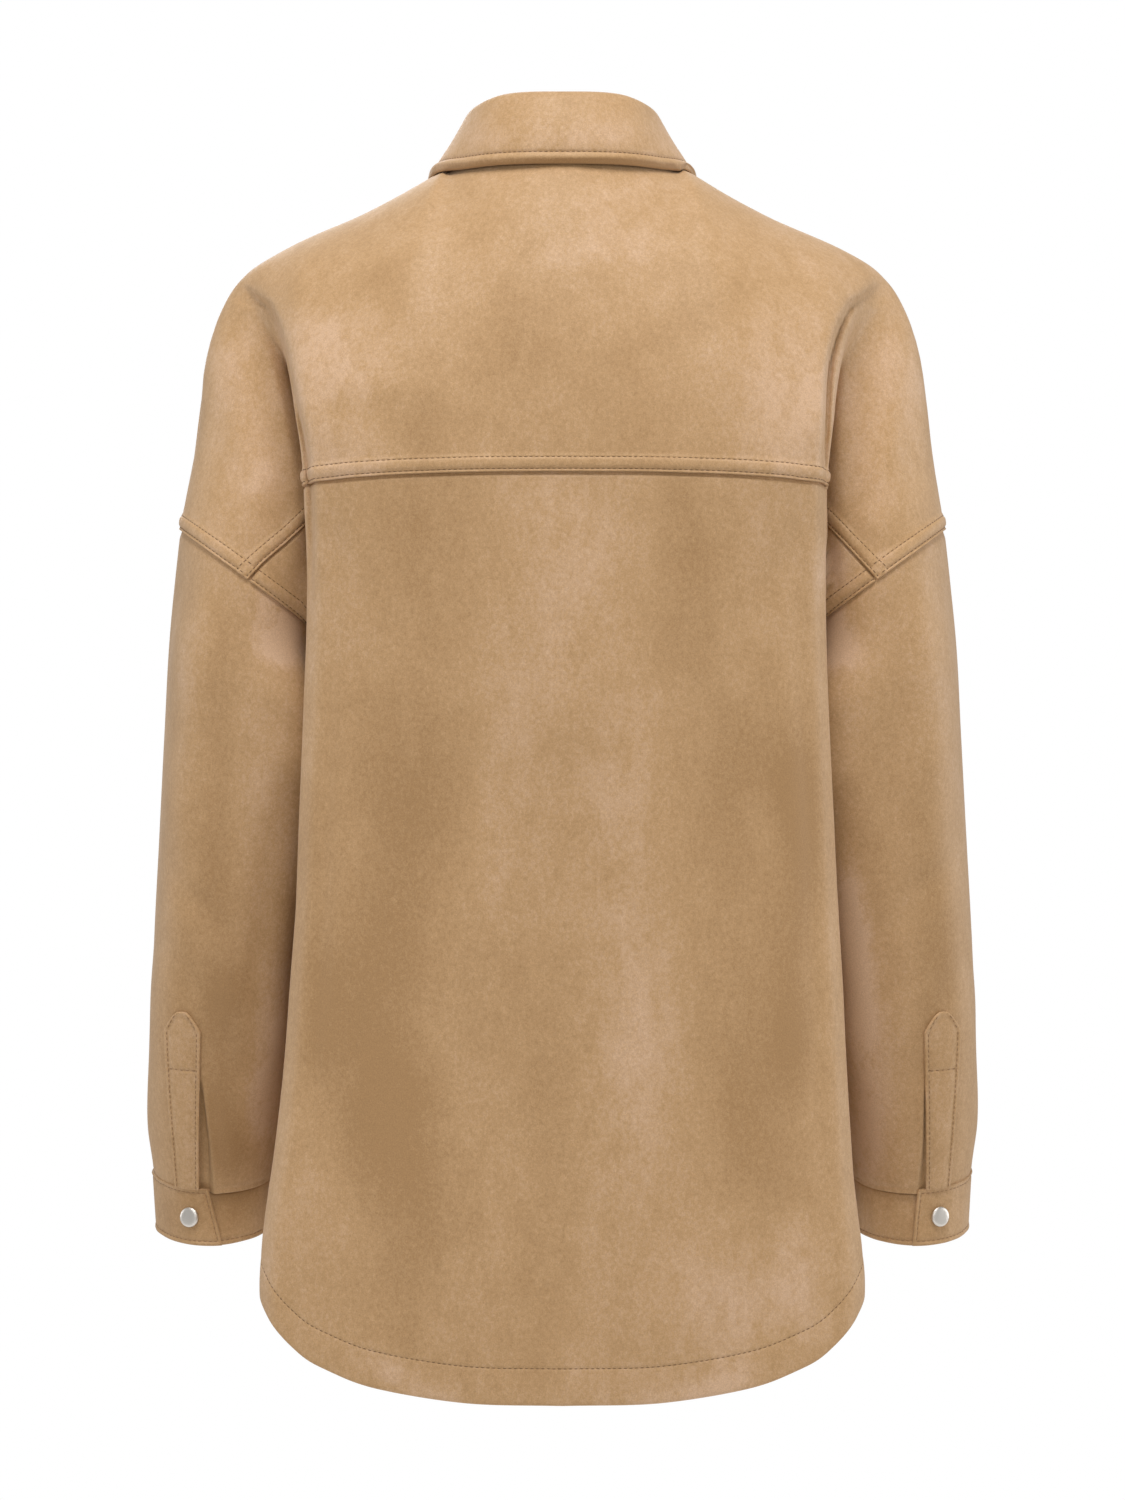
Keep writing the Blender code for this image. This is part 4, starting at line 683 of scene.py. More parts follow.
def nap_and_painted_light_marks(name, spots):
    """How far each point of a piece is made lighter or darker, by painted highlights and painted shade and by a lighter
    or darker nap: creases() of its table of strokes.
    """
    if name not in NAP_AND_PAINTED_LIGHT:
        return np.zeros(len(spots))
    return creases(spots[:, 0], spots[:, 2], NAP_AND_PAINTED_LIGHT[name])


# %% The shell maker
def put_in_mesh(name, spots, faces, finish, uv=None):
    """One smooth mesh object from arrays of points and faces, with the `cut` map and the strokes of nap and painted
    light and shade where asked.
    """
    mesh = bpy.data.meshes.new(name)
    mesh.from_pydata(spots.tolist(), [], faces.tolist())
    if uv is not None:
        layer = mesh.uv_layers.new(name="cut")
        layer.data.foreach_set("uv", uv.astype(np.float32).ravel())
        mesh.attributes.new("nap_and_painted_light", "FLOAT", "POINT").data.foreach_set(
            "value", nap_and_painted_light_marks(name, spots).astype(np.float32))
    mesh.shade_smooth()
    mesh.materials.append(finish)
    made = bpy.data.objects.new(name, mesh)
    collection.objects.link(made)
    return made


def shell(name, outer, inner, finish, node, reach=((None, None), (None, None)),
          wrap=False):
    """A closed shell of cloth between two grids, with rolled edges; it replaces a node."""
    mid, half, cut = (outer + inner) / 2, (outer - inner) / 2, cut_map((outer + inner) / 2)
    if wrap:
        mid, half, cut = (np.concatenate([a, a[:, :1]], axis=1) for a in (mid, half, cut))
        cut[:, -1, 0] = cut[:, -2, 0] + np.linalg.norm(mid[:, -1] - mid[:, -2], axis=-1)
    mid, half, cut = rolled(mid, half, cut, 0, reach[0])
    if not wrap:
        mid, half, cut = rolled(mid, half, cut, 1, reach[1])
    rows, columns = mid.shape[:2]
    number = np.arange(rows * columns).reshape(rows, columns)
    within = number[1:-1, :] if wrap else number[1:-1, 1:-1]
    under = number.copy()
    under[1:-1, slice(None) if wrap else slice(1, -1)] = rows * columns + np.arange(within.size).reshape(within.shape)
    if wrap:
        number[:, -1], under[:, -1] = number[:, 0], under[:, 0]
    hidden = (mid - half).reshape(-1, 3)[within.ravel()]
    spots = np.concatenate([(mid + half).reshape(-1, 3), hidden])
    inwards = (face_normals(mid) * half[:-1, :-1]).sum() < 0
    top, low, uv = corners(number), corners(under), corners(cut)
    # Both faces are wound so that their normals point into the cloth.
    faces = np.concatenate([top, low[:, ::-1]] if inwards else [top[:, ::-1], low])
    uv = np.concatenate([uv, uv[:, ::-1]] if inwards else [uv[:, ::-1], uv])
    used, faces = np.unique(faces, return_inverse=True)    # a tube's last column is its first one
    made = put_in_mesh(name, spots[used], faces.reshape(-1, 4), finish, uv)
    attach(made, "root")
    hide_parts(node)
    widest, longest = lengths_of(outer).max(), lengths_of(outer.swapaxes(0, 1)).max()


def draw_in(grid, sides, distance=MM):
    """The grid with the named free edges moved inwards, which leaves room for their roll."""
    grid = grid.copy()
    for side in sides.split():
        at, beside = {"top": (np.s_[0], np.s_[1]), "bottom": (np.s_[-1], np.s_[-2]),
                      "start": (np.s_[:, 0], np.s_[:, 1]), "end": (np.s_[:, -1], np.s_[:, -2])}[side]
        grid[at] += unit(grid[beside] - grid[at]) * distance
    return grid


# %% [markdown]
# ## Seam bands
# A lapped seam of suede is folded under, laid on the next piece and sewn down with two rows. It stands up like a
# flat rib: rolled at the fold, pressed in at both rows of thread and a little puffed between them.

# %% Profile of a band
BAND_RAISE = 1.2 * MM
LOW_ROW, HIGH_ROW = 1.9 * MM, 9.1 * MM


def band(distance):
    """Height of a lapped band by distance from its folded edge: a plateau that ends behind the second row of
    thread, with a bell-shaped groove at each row and a low arch between them."""
    plateau = BAND_RAISE * (1 - ease((distance - 9.3 * MM) / (1.7 * MM)))
    grooves = 0.75 * MM * (bump((distance - LOW_ROW) / (0.75 * MM)) + bump((distance - HIGH_ROW) / (0.85 * MM)))
    arch = 0.55 * MM * np.sin(math.pi * np.clip((distance - LOW_ROW) / (HIGH_ROW - LOW_ROW), 0, 1))
    return plateau + arch - grooves


def groove(distance, at, deep=0.4 * MM, wide=0.6 * MM):
    """A single pressed-in row of thread."""
    return -deep * bump((distance - at) / wide)


# %% [markdown]
# ## Stitches
# Each stitch is a short thread that dives into the cloth at both ends. One small tube, five rings of five points,
# is bent for every stitch at once by adding the arrays of places and directions.

# %% Stitch maker
RINGS = 5    # rings in a stitch, and points in a ring


def stitches(name, lines, finish, length=2.5 * MM, gap=0.8 * MM, thick=0.55 * MM):
    """Stitches along lines, each a pair of arrays (points, normals): a tube whose middle line is an arch and
    whose radius falls to nothing at both ends."""
    places, ways, ups = [], [], []
    for line, up in lines:
        both = np.concatenate([line, up], axis=1)
        whole = lengths_of(line[None])[0]
        count = max(int(whole / (length + gap)), 1)
        middle = (np.arange(count) + 0.5) * whole / count
        run = np.concatenate([[0], np.cumsum(np.linalg.norm(np.diff(line, axis=0), axis=1))])
        sides = [np.stack([np.interp(middle + d, run, both[:, k]) for k in range(6)], axis=-1)
                 for d in (-0.4 * length, 0, 0.4 * length)]
        places.append(sides[1][:, :3])
        ways.append(unit(sides[2][:, :3] - sides[0][:, :3]))
        ups.append(unit(sides[1][:, 3:]))
    place, way, up = (np.concatenate(a) for a in (places, ways, ups))
    side = unit(np.cross(way, up))
    t = np.linspace(0, 1, RINGS)[:, None]
    turn = np.linspace(0, 2 * math.pi, RINGS + 1)[None, :-1]
    radius = thick / 2 * np.sqrt(np.maximum(np.sin(math.pi * (0.06 + 0.88 * t)), 0))
    rise = (np.sin(math.pi * t) - 0.55) * thick * 0.5
    x = (t - 0.5) * length + 0 * turn
    y, z = radius * np.cos(turn), radius * np.sin(turn) + rise
    spots = (place[:, None, None] + way[:, None, None] * x[..., None] + side[:, None, None] * y[..., None]
             + up[:, None, None] * z[..., None]).reshape(-1, 3)
    quads = tube_faces(np.arange(RINGS ** 2).reshape(RINGS, RINGS))
    faces = (quads + RINGS ** 2 * np.arange(len(place))[:, None, None]).reshape(-1, 4)
    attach(put_in_mesh(name, spots, faces, finish), "root")
    print(name, "stitches", len(place))


# %% [markdown]
# ## Nap
# Suede is a brushed skin: short fibres that look lighter or darker by the way they lie. One node group makes it for
# every piece. Slow clouds and long streaks choose between a darker and a lighter lie of the nap, a fine mottle and a
# speckle of single fibres lie on top, and the same fibres raise the surface a little. Each piece's strokes pick
# between the same colours too, mostly as painted highlight and painted shade. The soft shine at the rims comes from
# the shader's own sheen.

# %% Nap node group
def nap_group():
    """A node group: noise on Object coordinates and the piece's strokes choose how the nap looks; the strokes also
    paint highlights and shade.
    """
    group = bpy.data.node_groups.new("suede_nap", "ShaderNodeTree")
    face = group.interface
    for socket, kind, value in (("Nap", "NodeSocketColor", (0.5, 0.3, 0.2, 1)),
                                ("Light_nap_and_highlight", "NodeSocketColor", (0.6, 0.4, 0.3, 1)),
                                ("Dark_nap_and_shade", "NodeSocketColor", (0.4, 0.2, 0.1, 1)), ("Clouds", "NodeSocketFloat", 0.5),
                                ("Streaks", "NodeSocketFloat", 0.4), ("Speckle", "NodeSocketFloat", 0.1),
                                ("Shift", "NodeSocketFloat", 0.0)):
        face.new_socket(socket, in_out="INPUT", socket_type=kind).default_value = value
    for socket, kind in (("Color", "NodeSocketColor"), ("Roughness", "NodeSocketFloat"), ("Height", "NodeSocketFloat")):
        face.new_socket(socket, in_out="OUTPUT", socket_type=kind)
    new, link = group.nodes.new, group.links.new
    given, out = new("NodeGroupInput"), new("NodeGroupOutput")
    place = new("ShaderNodeTexCoord").outputs["Object"]
    marks = new("ShaderNodeAttribute")
    marks.attribute_name = "nap_and_painted_light"

    def noise(scale, stretch, detail, rough=0.55, twist=0.0):
        """Noise in the object's own space, drawn out downwards by 1 / stretch."""
        move = new("ShaderNodeMapping")
        move.inputs["Scale"].default_value = (scale, scale, scale * stretch)
        link(place, move.inputs["Vector"])
        shifted = new("ShaderNodeVectorMath")
        link(move.outputs["Vector"], shifted.inputs[0])
        link(given.outputs["Shift"], shifted.inputs[1])
        made = new("ShaderNodeTexNoise")
        made.inputs["Scale"].default_value = 1
        made.inputs["Detail"].default_value = detail
        made.inputs["Roughness"].default_value = rough
        made.inputs["Distortion"].default_value = twist
        link(shifted.outputs["Vector"], made.inputs["Vector"])
        return made.outputs["Fac"]

    def maths(kind, a, b, clamp=False):
        """One sum, product or the like of two sockets or numbers."""
        made = new("ShaderNodeMath")
        made.operation, made.use_clamp = kind, clamp
        for socket, value in zip(made.inputs, (a, b)):
            if isinstance(value, (int, float)):
                socket.default_value = value
            else:
                link(value, socket)
        return made.outputs["Value"]

    def spread(source, amount):
        """(source - 0.5) x amount"""
        return maths("MULTIPLY", maths("SUBTRACT", source, 0.5), amount)

    def summed(*terms):
        """All terms added up."""
        total = terms[0]
        for term in terms[1:]:
            total = maths("ADD", total, term)
        return total

    clouds, streaks = noise(12, 0.55, 4, 0.6, 0.2), noise(62, 0.6, 7, 0.72)
    mottle, fibres = noise(420, 0.85, 3, 0.75), noise(1500, 0.8, 2, 0.6)
    # The piece's strokes, broken up by the streaks: painted highlight and painted shade, and in part a lighter or
    # darker nap.
    ragged = maths("MULTIPLY", marks.outputs["Fac"], maths("ADD", 1, spread(streaks, 2.6), True))
    lie_and_painted_light = maths("ADD", summed(0.5, spread(clouds, given.outputs["Clouds"]), spread(streaks, given.outputs["Streaks"]),
                              ragged), spread(mottle, 1.1), clamp=True)

    def mixed(factor, a, b):
        """The colour a x (1 - factor) + b x factor."""
        made = new("ShaderNodeMix")
        made.data_type = "RGBA"
        link(factor, made.inputs["Factor"])
        link(a, made.inputs[6])
        link(b, made.inputs[7])
        return made.outputs[2]

    dark_side = mixed(maths("MULTIPLY", lie_and_painted_light, 2, True), given.outputs["Dark_nap_and_shade"], given.outputs["Nap"])
    colour = mixed(maths("SUBTRACT", maths("MULTIPLY", lie_and_painted_light, 2), 1, True), dark_side, given.outputs["Light_nap_and_highlight"])
    grain = new("ShaderNodeVectorMath")
    grain.operation = "SCALE"
    link(colour, grain.inputs[0])
    link(maths("ADD", 1, spread(fibres, given.outputs["Speckle"])), grain.inputs["Scale"])
    link(grain.outputs["Vector"], out.inputs["Color"])
    link(maths("ADD", 0.60, maths("MULTIPLY", lie_and_painted_light, -0.06)), out.inputs["Roughness"])
    link(maths("ADD", maths("MULTIPLY", fibres, 0.7), maths("MULTIPLY", mottle, 0.6)), out.inputs["Height"])
    return group


NAP = nap_group()


def shades(colour, lift):
    """An sRGB colour, 0-255, as a linear one: ((c + 0.055) / 1.055) to the power 2.4, times `lift`."""
    c = np.array(colour) / 255
    return (*(np.where(c <= 0.04045, c / 12.92, ((c + 0.055) / 1.055) ** 2.4) * lift), 1)


def suede(name, nap, brushed, dark_nap_and_shade, clouds=0.5, streaks=0.9, speckle=0.6, shift=0.0, rise=0.00022):
    """A napped suede: the group's colour, roughness and height in a Principled shader with sheen; its lighter and
    darker nap colours are also the painted highlight and painted shade of the strokes.
    """
    made, shader = principled(name, {"Specular IOR Level": 0.32, "Sheen Weight": 0.12, "Sheen Roughness": 0.55,
                                     "Sheen Tint": (1.0, 0.94, 0.88, 1)})
    tree = made.node_tree
    group = tree.nodes.new("ShaderNodeGroup")
    group.node_tree = NAP
    for socket, value in (("Nap", nap), ("Light_nap_and_highlight", brushed), ("Dark_nap_and_shade", dark_nap_and_shade), ("Clouds", clouds),
                          ("Streaks", streaks), ("Speckle", speckle), ("Shift", shift)):
        group.inputs[socket].default_value = value
    tree.links.new(group.outputs["Color"], shader.inputs["Base Color"])
    tree.links.new(group.outputs["Roughness"], shader.inputs["Roughness"])
    relief = tree.nodes.new("ShaderNodeBump")
    relief.inputs["Strength"].default_value = 0.55
    relief.inputs["Distance"].default_value = rise
    tree.links.new(group.outputs["Height"], relief.inputs["Height"])
    tree.links.new(relief.outputs["Normal"], shader.inputs["Normal"])
    return made


TONES = {"yoke": (1.00, 1.3), "back": (0.98, 7.7), "front": (0.98, 13.1), "sleeve": (0.95, 21.4), "cuff": (0.94, 30.2),
         "placket": (0.96, 37.9), "collar": (1.00, 45.5)}
# The nap's middle colour, its lighter colour, which the strokes also use as painted highlight, and its darker colour,
# which they also use as painted shade.
NAP_SRGB, LIGHT_NAP_AND_HIGHLIGHT_SRGB, DARK_NAP_AND_SHADE_SRGB = (179, 143, 101), (196, 162, 130), (159, 123, 81)
skins = {name: suede(f"suede_{name}", shades(NAP_SRGB, lift), shades(LIGHT_NAP_AND_HIGHLIGHT_SRGB, lift), shades(DARK_NAP_AND_SHADE_SRGB, lift),
                     shift=shift) for name, (lift, shift) in TONES.items()}


def spun(name, colour):
    """A plain thread of one sRGB colour."""
    return principled(name, {"Base Color": shades(colour, 1), "Roughness": 0.6})[0]


thread, light_thread = spun("thread", (108, 80, 48)), spun("light_thread", (134, 102, 68))
print("materials:", len(skins) + 2)

# %% [markdown]
# ## Yoke and back panel
# The yoke is cut from the top of the back sheet and ends at its folded edge. The back panel starts a little higher,
# dives under the yoke there, and runs down to the shirt-tail hem, where it is turned up and sewn once.

# %% Distances from the seams
to_yoke_seam = np.full(SEAM_ROW + 1, FAR)
to_yoke_seam[-len(CLOSE) - 1:] = [*CLOSE[::-1], 0]


def to_armhole(grid):
    """Length from each point to the armhole's edge along its row, for both sides of a full sheet."""
    step = np.linalg.norm(np.diff(grid, axis=1), axis=2)
    from_start = np.concatenate([np.zeros((len(grid), 1)), np.cumsum(step, axis=1)], axis=1)
    return np.minimum(from_start, from_start[:, -1:] - from_start) + CLOSE[0]


by_arm_back, by_arm_front = to_armhole(back), to_armhole(front)
flat_fold = 1 - 0.9 * bump((column_u - CREASE_U) / 0.05)

# %% Yoke
TRIM = 2            # rows and columns dropped at a folded edge, whose roll takes their place
TURN = 0.65 * MM    # reach of that roll
rows = slice(0, SEAM_ROW + 1 - TRIM)
edge = slice(TRIM - 1, -(TRIM - 1))
yoke, yoke_n = back[rows, edge], back_n[rows, edge]
band_height = np.maximum(band(to_yoke_seam[rows, None]) * flat_fold[None, edge], band(by_arm_back[rows, edge]))
yoke = draw_in(yoke, "top")
yoke_outer = yoke + yoke_n * band_height[..., None]
shell("yoke_cloth", yoke_outer, yoke - yoke_n * CLOTH, skins["yoke"], "back_yoke",
      reach=((MM, TURN), (TURN, TURN)))


def row_line(outer, normals, row):
    """A row of thread across the cloth."""
    return outer[row], normals[row]


def column_line(outer, normals, column, rows):
    """A row of thread down the cloth."""
    return outer[rows, column], normals[rows, column]


SEWN = [int(np.argmin(abs(CLOSE - d))) - (TRIM - 1) for d in (LOW_ROW, HIGH_ROW)]    # a band's sewn rows, from its edge
SEWN_COLUMNS = SEWN + [-1 - k for k in SEWN]
lines = [row_line(yoke_outer, yoke_n, -1 - k) for k in SEWN]
lines += [column_line(yoke_outer, yoke_n, k, slice(3, -6)) for k in SEWN_COLUMNS]
stitches("yoke_stitches", lines, thread)


# %% Hem, and the end of the armhole bands
def turned_up(from_hem):
    """1 where the hem is turned up, easing to 0 between 21 and 24 mm from its edge."""
    return 1 - ease((from_hem - 21 * MM) / (3 * MM))


def hem_of(count):
    """For a sheet of so many rows: distances from the hem, the height of its groove and puff, and its sewn row."""
    from_hem = np.full(count, FAR)
    from_hem[-len(HEM_CLOSE) + 2:] = HEM_CLOSE[:1:-1]
    puff = 0.35 * MM * np.sin(math.pi * np.clip(from_hem / HEM_DEPTH, 0, 1)) * (from_hem < HEM_DEPTH)
    sewn = count + 1 - int(np.argmin(abs(HEM_CLOSE - HEM_DEPTH)))
    return from_hem, (groove(from_hem, HEM_DEPTH) + puff)[:, None], sewn


def band_fade(rows, last):
    """Share of an armhole band's height at each row: 1, easing to a half at the last row, and 0 below it."""
    return np.where(rows > last, 0, 1 - 0.5 * ease((rows - last + 8) / 8))


# %% Back panel
first = SEAM_ROW - int(np.argmin(abs(CLOSE - TUCK))) - 1
panel, panel_n = back[first:-2, edge], back_n[first:-2, edge]
below = np.concatenate([-to_yoke_seam[first:SEAM_ROW + 1],
                        np.linalg.norm(back[SEAM_ROW + 1:-2, MIDDLE] - back[SEAM_ROW, MIDDLE], axis=-1)])
sunk = 1.7 * MM * (1 - ease((below - 0.4 * MM) / (2.4 * MM)))
panel = panel - panel_n * sunk[:, None, None]
from_hem, hem_height, hem_row = hem_of(len(panel))
arm_fade = ease((below - 1 * MM) / (4 * MM)) * band_fade(np.arange(len(panel)) + first, BACK_ARM_ROW)
panel_height = band(by_arm_back[first:-2, edge]) * arm_fade[:, None] + hem_height
panel_outer = panel + panel_n * panel_height[..., None]
hem_thick = 1.2 * MM * turned_up(from_hem)
shell("back_cloth", panel_outer, panel - panel_n * (CLOTH + hem_thick)[:, None, None], skins["back"], "back_panel",
      reach=((MM, MM), (TURN, TURN)))
lines = [row_line(panel_outer, panel_n, hem_row)]
lines += [column_line(panel_outer, panel_n, k, slice(9, BACK_ARM_ROW - first + 1)) for k in SEWN_COLUMNS]
stitches("back_stitches", lines, thread)

# %% [markdown]
# ## The fronts
# The hidden side is finished as plainly as a shirt-jacket's front is: two fronts, the right one lapped over the left,
# with a strip sewn along its edge for the snaps. Both have the same hem and armhole bands as the back.

# %% Fronts
front, front_n, by_arm_front = front[:-2], front_n[:-2], by_arm_front[:-2]
NEAR = {1: np.array([-UNDERLAP, -0.008, 0.0, 0.008, STRIP_HALF, STRIP_HALF + 0.006]),
        -1: np.array([STRIP_HALF, 0.012, 0.006, 0.0, -0.006, -0.012, -STRIP_HALF])}    # x of its first columns
NEAR_COLUMNS, FIRST_OWN = 14, 11    # the sheet's columns, from its middle, that those are taken from and end at


def front_piece(side):
    """One front from the front sheet: columns at fixed places near the edge, then the sheet's own columns."""
    near = NEAR[side]

    def across(values):
        """Values of the sheet at fixed x near the middle, for all rows at once."""
        reach = slice(MIDDLE - NEAR_COLUMNS, MIDDLE + NEAR_COLUMNS + 1)
        x, v = front[:, reach, 0], values[:, reach]
        k = np.clip((x[:, None, :] <= near[None, :, None]).sum(-1) - 1, 0, x.shape[1] - 2)
        r = np.arange(len(x))[:, None]
        t = (near[None] - x[r, k]) / (x[r, k + 1] - x[r, k])
        return v[r, k] + t[..., None] * (v[r, k + 1] - v[r, k])

    start = int(np.argmax(np.abs(front[:, MIDDLE:, 0]).max(axis=0) > abs(near[-1]) + 2 * MM))
    start = max(start, FIRST_OWN)
    own = slice(MIDDLE + start, -(TRIM - 1)) if side > 0 else slice(MIDDLE - start, TRIM - 2, -1)
    grid = np.concatenate([across(front), front[:, own]], axis=1)
    n = unit(np.concatenate([across(front_n), front_n[:, own]], axis=1))
    to_arm = np.concatenate([np.full((len(front), len(near)), FAR), by_arm_front[:, own]], axis=1)
    sunk = np.zeros(grid.shape[1])
    if side > 0:    # under the right front
        sunk[:6] = (CLOTH + 0.5 * MM) * np.array([1, 1, 1, 1, 1, 0.6])
    from_hem, hem_height, hem_row = hem_of(len(front))
    height = band(to_arm) * band_fade(np.arange(len(front)), FRONT_ARM_ROW)[:, None] + hem_height
    grid = draw_in(grid - n * sunk[None, :, None], "top start")
    outer = grid + n * height[..., None]
    thick = CLOTH + 1.0 * MM * turned_up(from_hem)[:, None] * (sunk < MM)[None]
    name = SIDE_NAME[side]
    shell(f"front_{name}_cloth", outer, grid - n * thick[..., None], skins["front"], f"front_{name}",
          reach=((MM, MM), (MM, TURN)))
    first_sewn = 7 if side > 0 else 0
    rows = [(outer[hem_row, first_sewn:], n[hem_row, first_sewn:])]
    rows += [column_line(outer, n, -1 - k, slice(3, FRONT_ARM_ROW)) for k in SEWN]
    stitches(f"front_{name}_stitches", rows, thread)
    return grid, n


left_grid, left_n = front_piece(1)
right_grid, right_n = front_piece(-1)


# %% Front strip on the right front
STRIP_COLUMNS, STRIP_SEWN = 25, 5 * MM
places = np.linspace(STRIP_HALF - MM, -STRIP_HALF + MM, STRIP_COLUMNS)
strip = np.stack([np.stack([np.interp(places, row[::-1, 0], row[::-1, k]) for k in range(3)], axis=-1)
                  for row in right_grid[:, :7]])
strip_n = np.repeat(unit(right_n[:, 3:4]), STRIP_COLUMNS, axis=1)
strip_x = np.linspace(0, 1, STRIP_COLUMNS)
from_side = 2 * STRIP_HALF * np.minimum(strip_x, 1 - strip_x)
strip = draw_in(strip, "top bottom", 1.5 * MM)
strip_inner = strip + strip_n * 0.3 * MM
strip_outer = strip_inner + strip_n * (STRIP_CLOTH + groove(from_side, STRIP_SEWN, 0.35 * MM) + 0.2 * MM * ease(
    from_side / STRIP_SEWN))[None, :, None]
shell("front_strip_cloth", strip_outer, strip_inner, skins["placket"], "front_placket")
sewn = int(np.argmin(abs(from_side - STRIP_SEWN)[:STRIP_COLUMNS // 2]))
lines = [column_line(strip_outer, strip_n, c, slice(1, -1)) for c in (sewn, -1 - sewn)]
stitches("front_strip_stitches", lines, thread)

# %% [markdown]
# ## Sleeves
# A sleeve is a tube along a bent row of ovals. Its head is tucked under the folded armhole band, and its lower end
# goes into the cuff. The tube hangs in long soft folds, with a few short diagonal ones at the elbow and, on the back
# of the forearm, the slit of the placket, where one side sinks under the other.

# %% Sleeve form
ARC = 0.00094        # metres of cloth for a degree of the oval
SLEEVE_END = SLEEVE["z"][-1]
SLEEVE_ANGLES = np.concatenate([np.arange(-180, 36, 2.4), np.arange(36, 102, 1.1), np.arange(102.4, 179, 2.4)])


def sleeve_section(angle, z):
    """Points of the left sleeve's plain form by oval angle and level."""
    def size(name):
        return smooth(SLEEVE["z"][::-1], SLEEVE[name][::-1], z)

    a = np.radians(angle)
    return np.stack([size("outer_x") - size("half_x") + size("half_x") * np.cos(a),
                     size("y") + size("half_y") * np.sin(a),
                     z + size("tilt") * np.cos(a) + size("pitch") * np.sin(a)], axis=-1)


def squared(angle, z):
    """Extra height that makes the back of an oval fuller at its corners, as sin squared of twice the angle: 4.2 mm
    at the outer corner and 7 mm at the one beside the body, with a bell of 14 mm further in below the armhole."""
    a = np.radians(angle)
    full = ease((SLEEVE["z"][0] - 0.02 - z) / 0.05) * (1 - ease((SLEEVE_END + 0.10 - z) / 0.08))
    corner = (4.2 + 2.8 * ease((angle - 90) / 20)) * MM * np.sin(2 * a) ** 2 * ease(np.sin(a) / 0.4)
    return (corner + 14 * MM * bump((angle - 150) / 46) * bump((z + 0.308) / 0.075)) * full


def sleeve_normals(angle, z):
    """Outward normals of the plain form: the cross product of its two directions."""
    down = sleeve_section(angle, z - 0.4 * MM) - sleeve_section(angle, z + 0.4 * MM)
    around = sleeve_section(angle + 1, z) - sleeve_section(angle - 1, z)
    n = unit(np.cross(around, down))
    way = sleeve_section(angle, z) - sleeve_section(angle + 180, z)
    return n * np.sign((n * way).sum(axis=-1, keepdims=True))


SLEEVE_CREASES = {
    1: table(CREASE,
             (0.054, -0.27, 0.047, -0.41, 0.015, 0.0017), (0.080, -0.28, 0.074, -0.44, 0.013, -0.0015),
             (0.024, -0.29, 0.020, -0.50, 0.016, -0.0012), (0.100, -0.34, 0.094, -0.52, 0.012, 0.0014),
             (0.040, -0.43, 0.088, -0.475, 0.009, -0.0011), (0.030, -0.475, 0.070, -0.51, 0.010, -0.0009),
             (-0.020, -0.36, -0.115, -0.392, 0.009, -0.0026), (-0.028, -0.388, -0.120, -0.425, 0.008, 0.0019),
             (-0.024, -0.425, -0.112, -0.450, 0.009, -0.0022), (-0.040, -0.48, -0.105, -0.50, 0.009, -0.0014),
             (-0.060, -0.26, -0.054, -0.34, 0.014, 0.0015), (-0.090, -0.29, -0.070, -0.36, 0.010, -0.0016),
             (-0.046, -0.52, -0.052, -0.61, 0.010, 0.0013), (0.006, -0.50, 0.010, -0.62, 0.012, 0.0010),
             (0.121, -0.262, 0.117, -0.372, 0.012, 0.0036), (0.108, -0.40, 0.112, -0.55, 0.012, -0.0022)),
    -1: table(CREASE,
              (0.050, -0.27, 0.056, -0.38, 0.016, 0.0015), (0.078, -0.27, 0.084, -0.42, 0.012, -0.0015),
              (0.022, -0.28, 0.028, -0.47, 0.015, -0.0012), (0.098, -0.36, 0.090, -0.54, 0.012, 0.0014),
              (0.030, -0.41, 0.092, -0.47, 0.010, -0.0012), (0.026, -0.49, 0.062, -0.51, 0.010, -0.0008),
              (-0.016, -0.35, -0.112, -0.398, 0.009, -0.0025), (-0.030, -0.395, -0.122, -0.418, 0.008, 0.0018),
              (-0.020, -0.420, -0.116, -0.458, 0.009, -0.0023), (-0.046, -0.47, -0.100, -0.505, 0.009, -0.0013),
              (-0.055, -0.26, -0.060, -0.35, 0.014, 0.0015), (-0.088, -0.30, -0.072, -0.35, 0.010, -0.0015),
              (-0.050, -0.51, -0.046, -0.60, 0.010, 0.0013), (0.008, -0.51, 0.004, -0.62, 0.012, 0.0010),
              (0.123, -0.262, 0.119, -0.380, 0.012, 0.0036), (0.122, -0.42, 0.120, -0.56, 0.012, 0.0018))}


def placket_side(z):
    """Oval angle of the placket's middle and its half width in degrees."""
    return (np.interp(-z, -PLACKET["z"], PLACKET["angle"]),
            np.degrees(np.interp(-z, -PLACKET["z"], PLACKET["half"]) / FOREARM_RADIUS))


SLIT = {1: {"widening": 0.19, "widest": 8.4 * MM, "sink": 3.6 * MM},
        -1: {"widening": 0.05, "widest": 2.4 * MM, "sink": 2.2 * MM}}


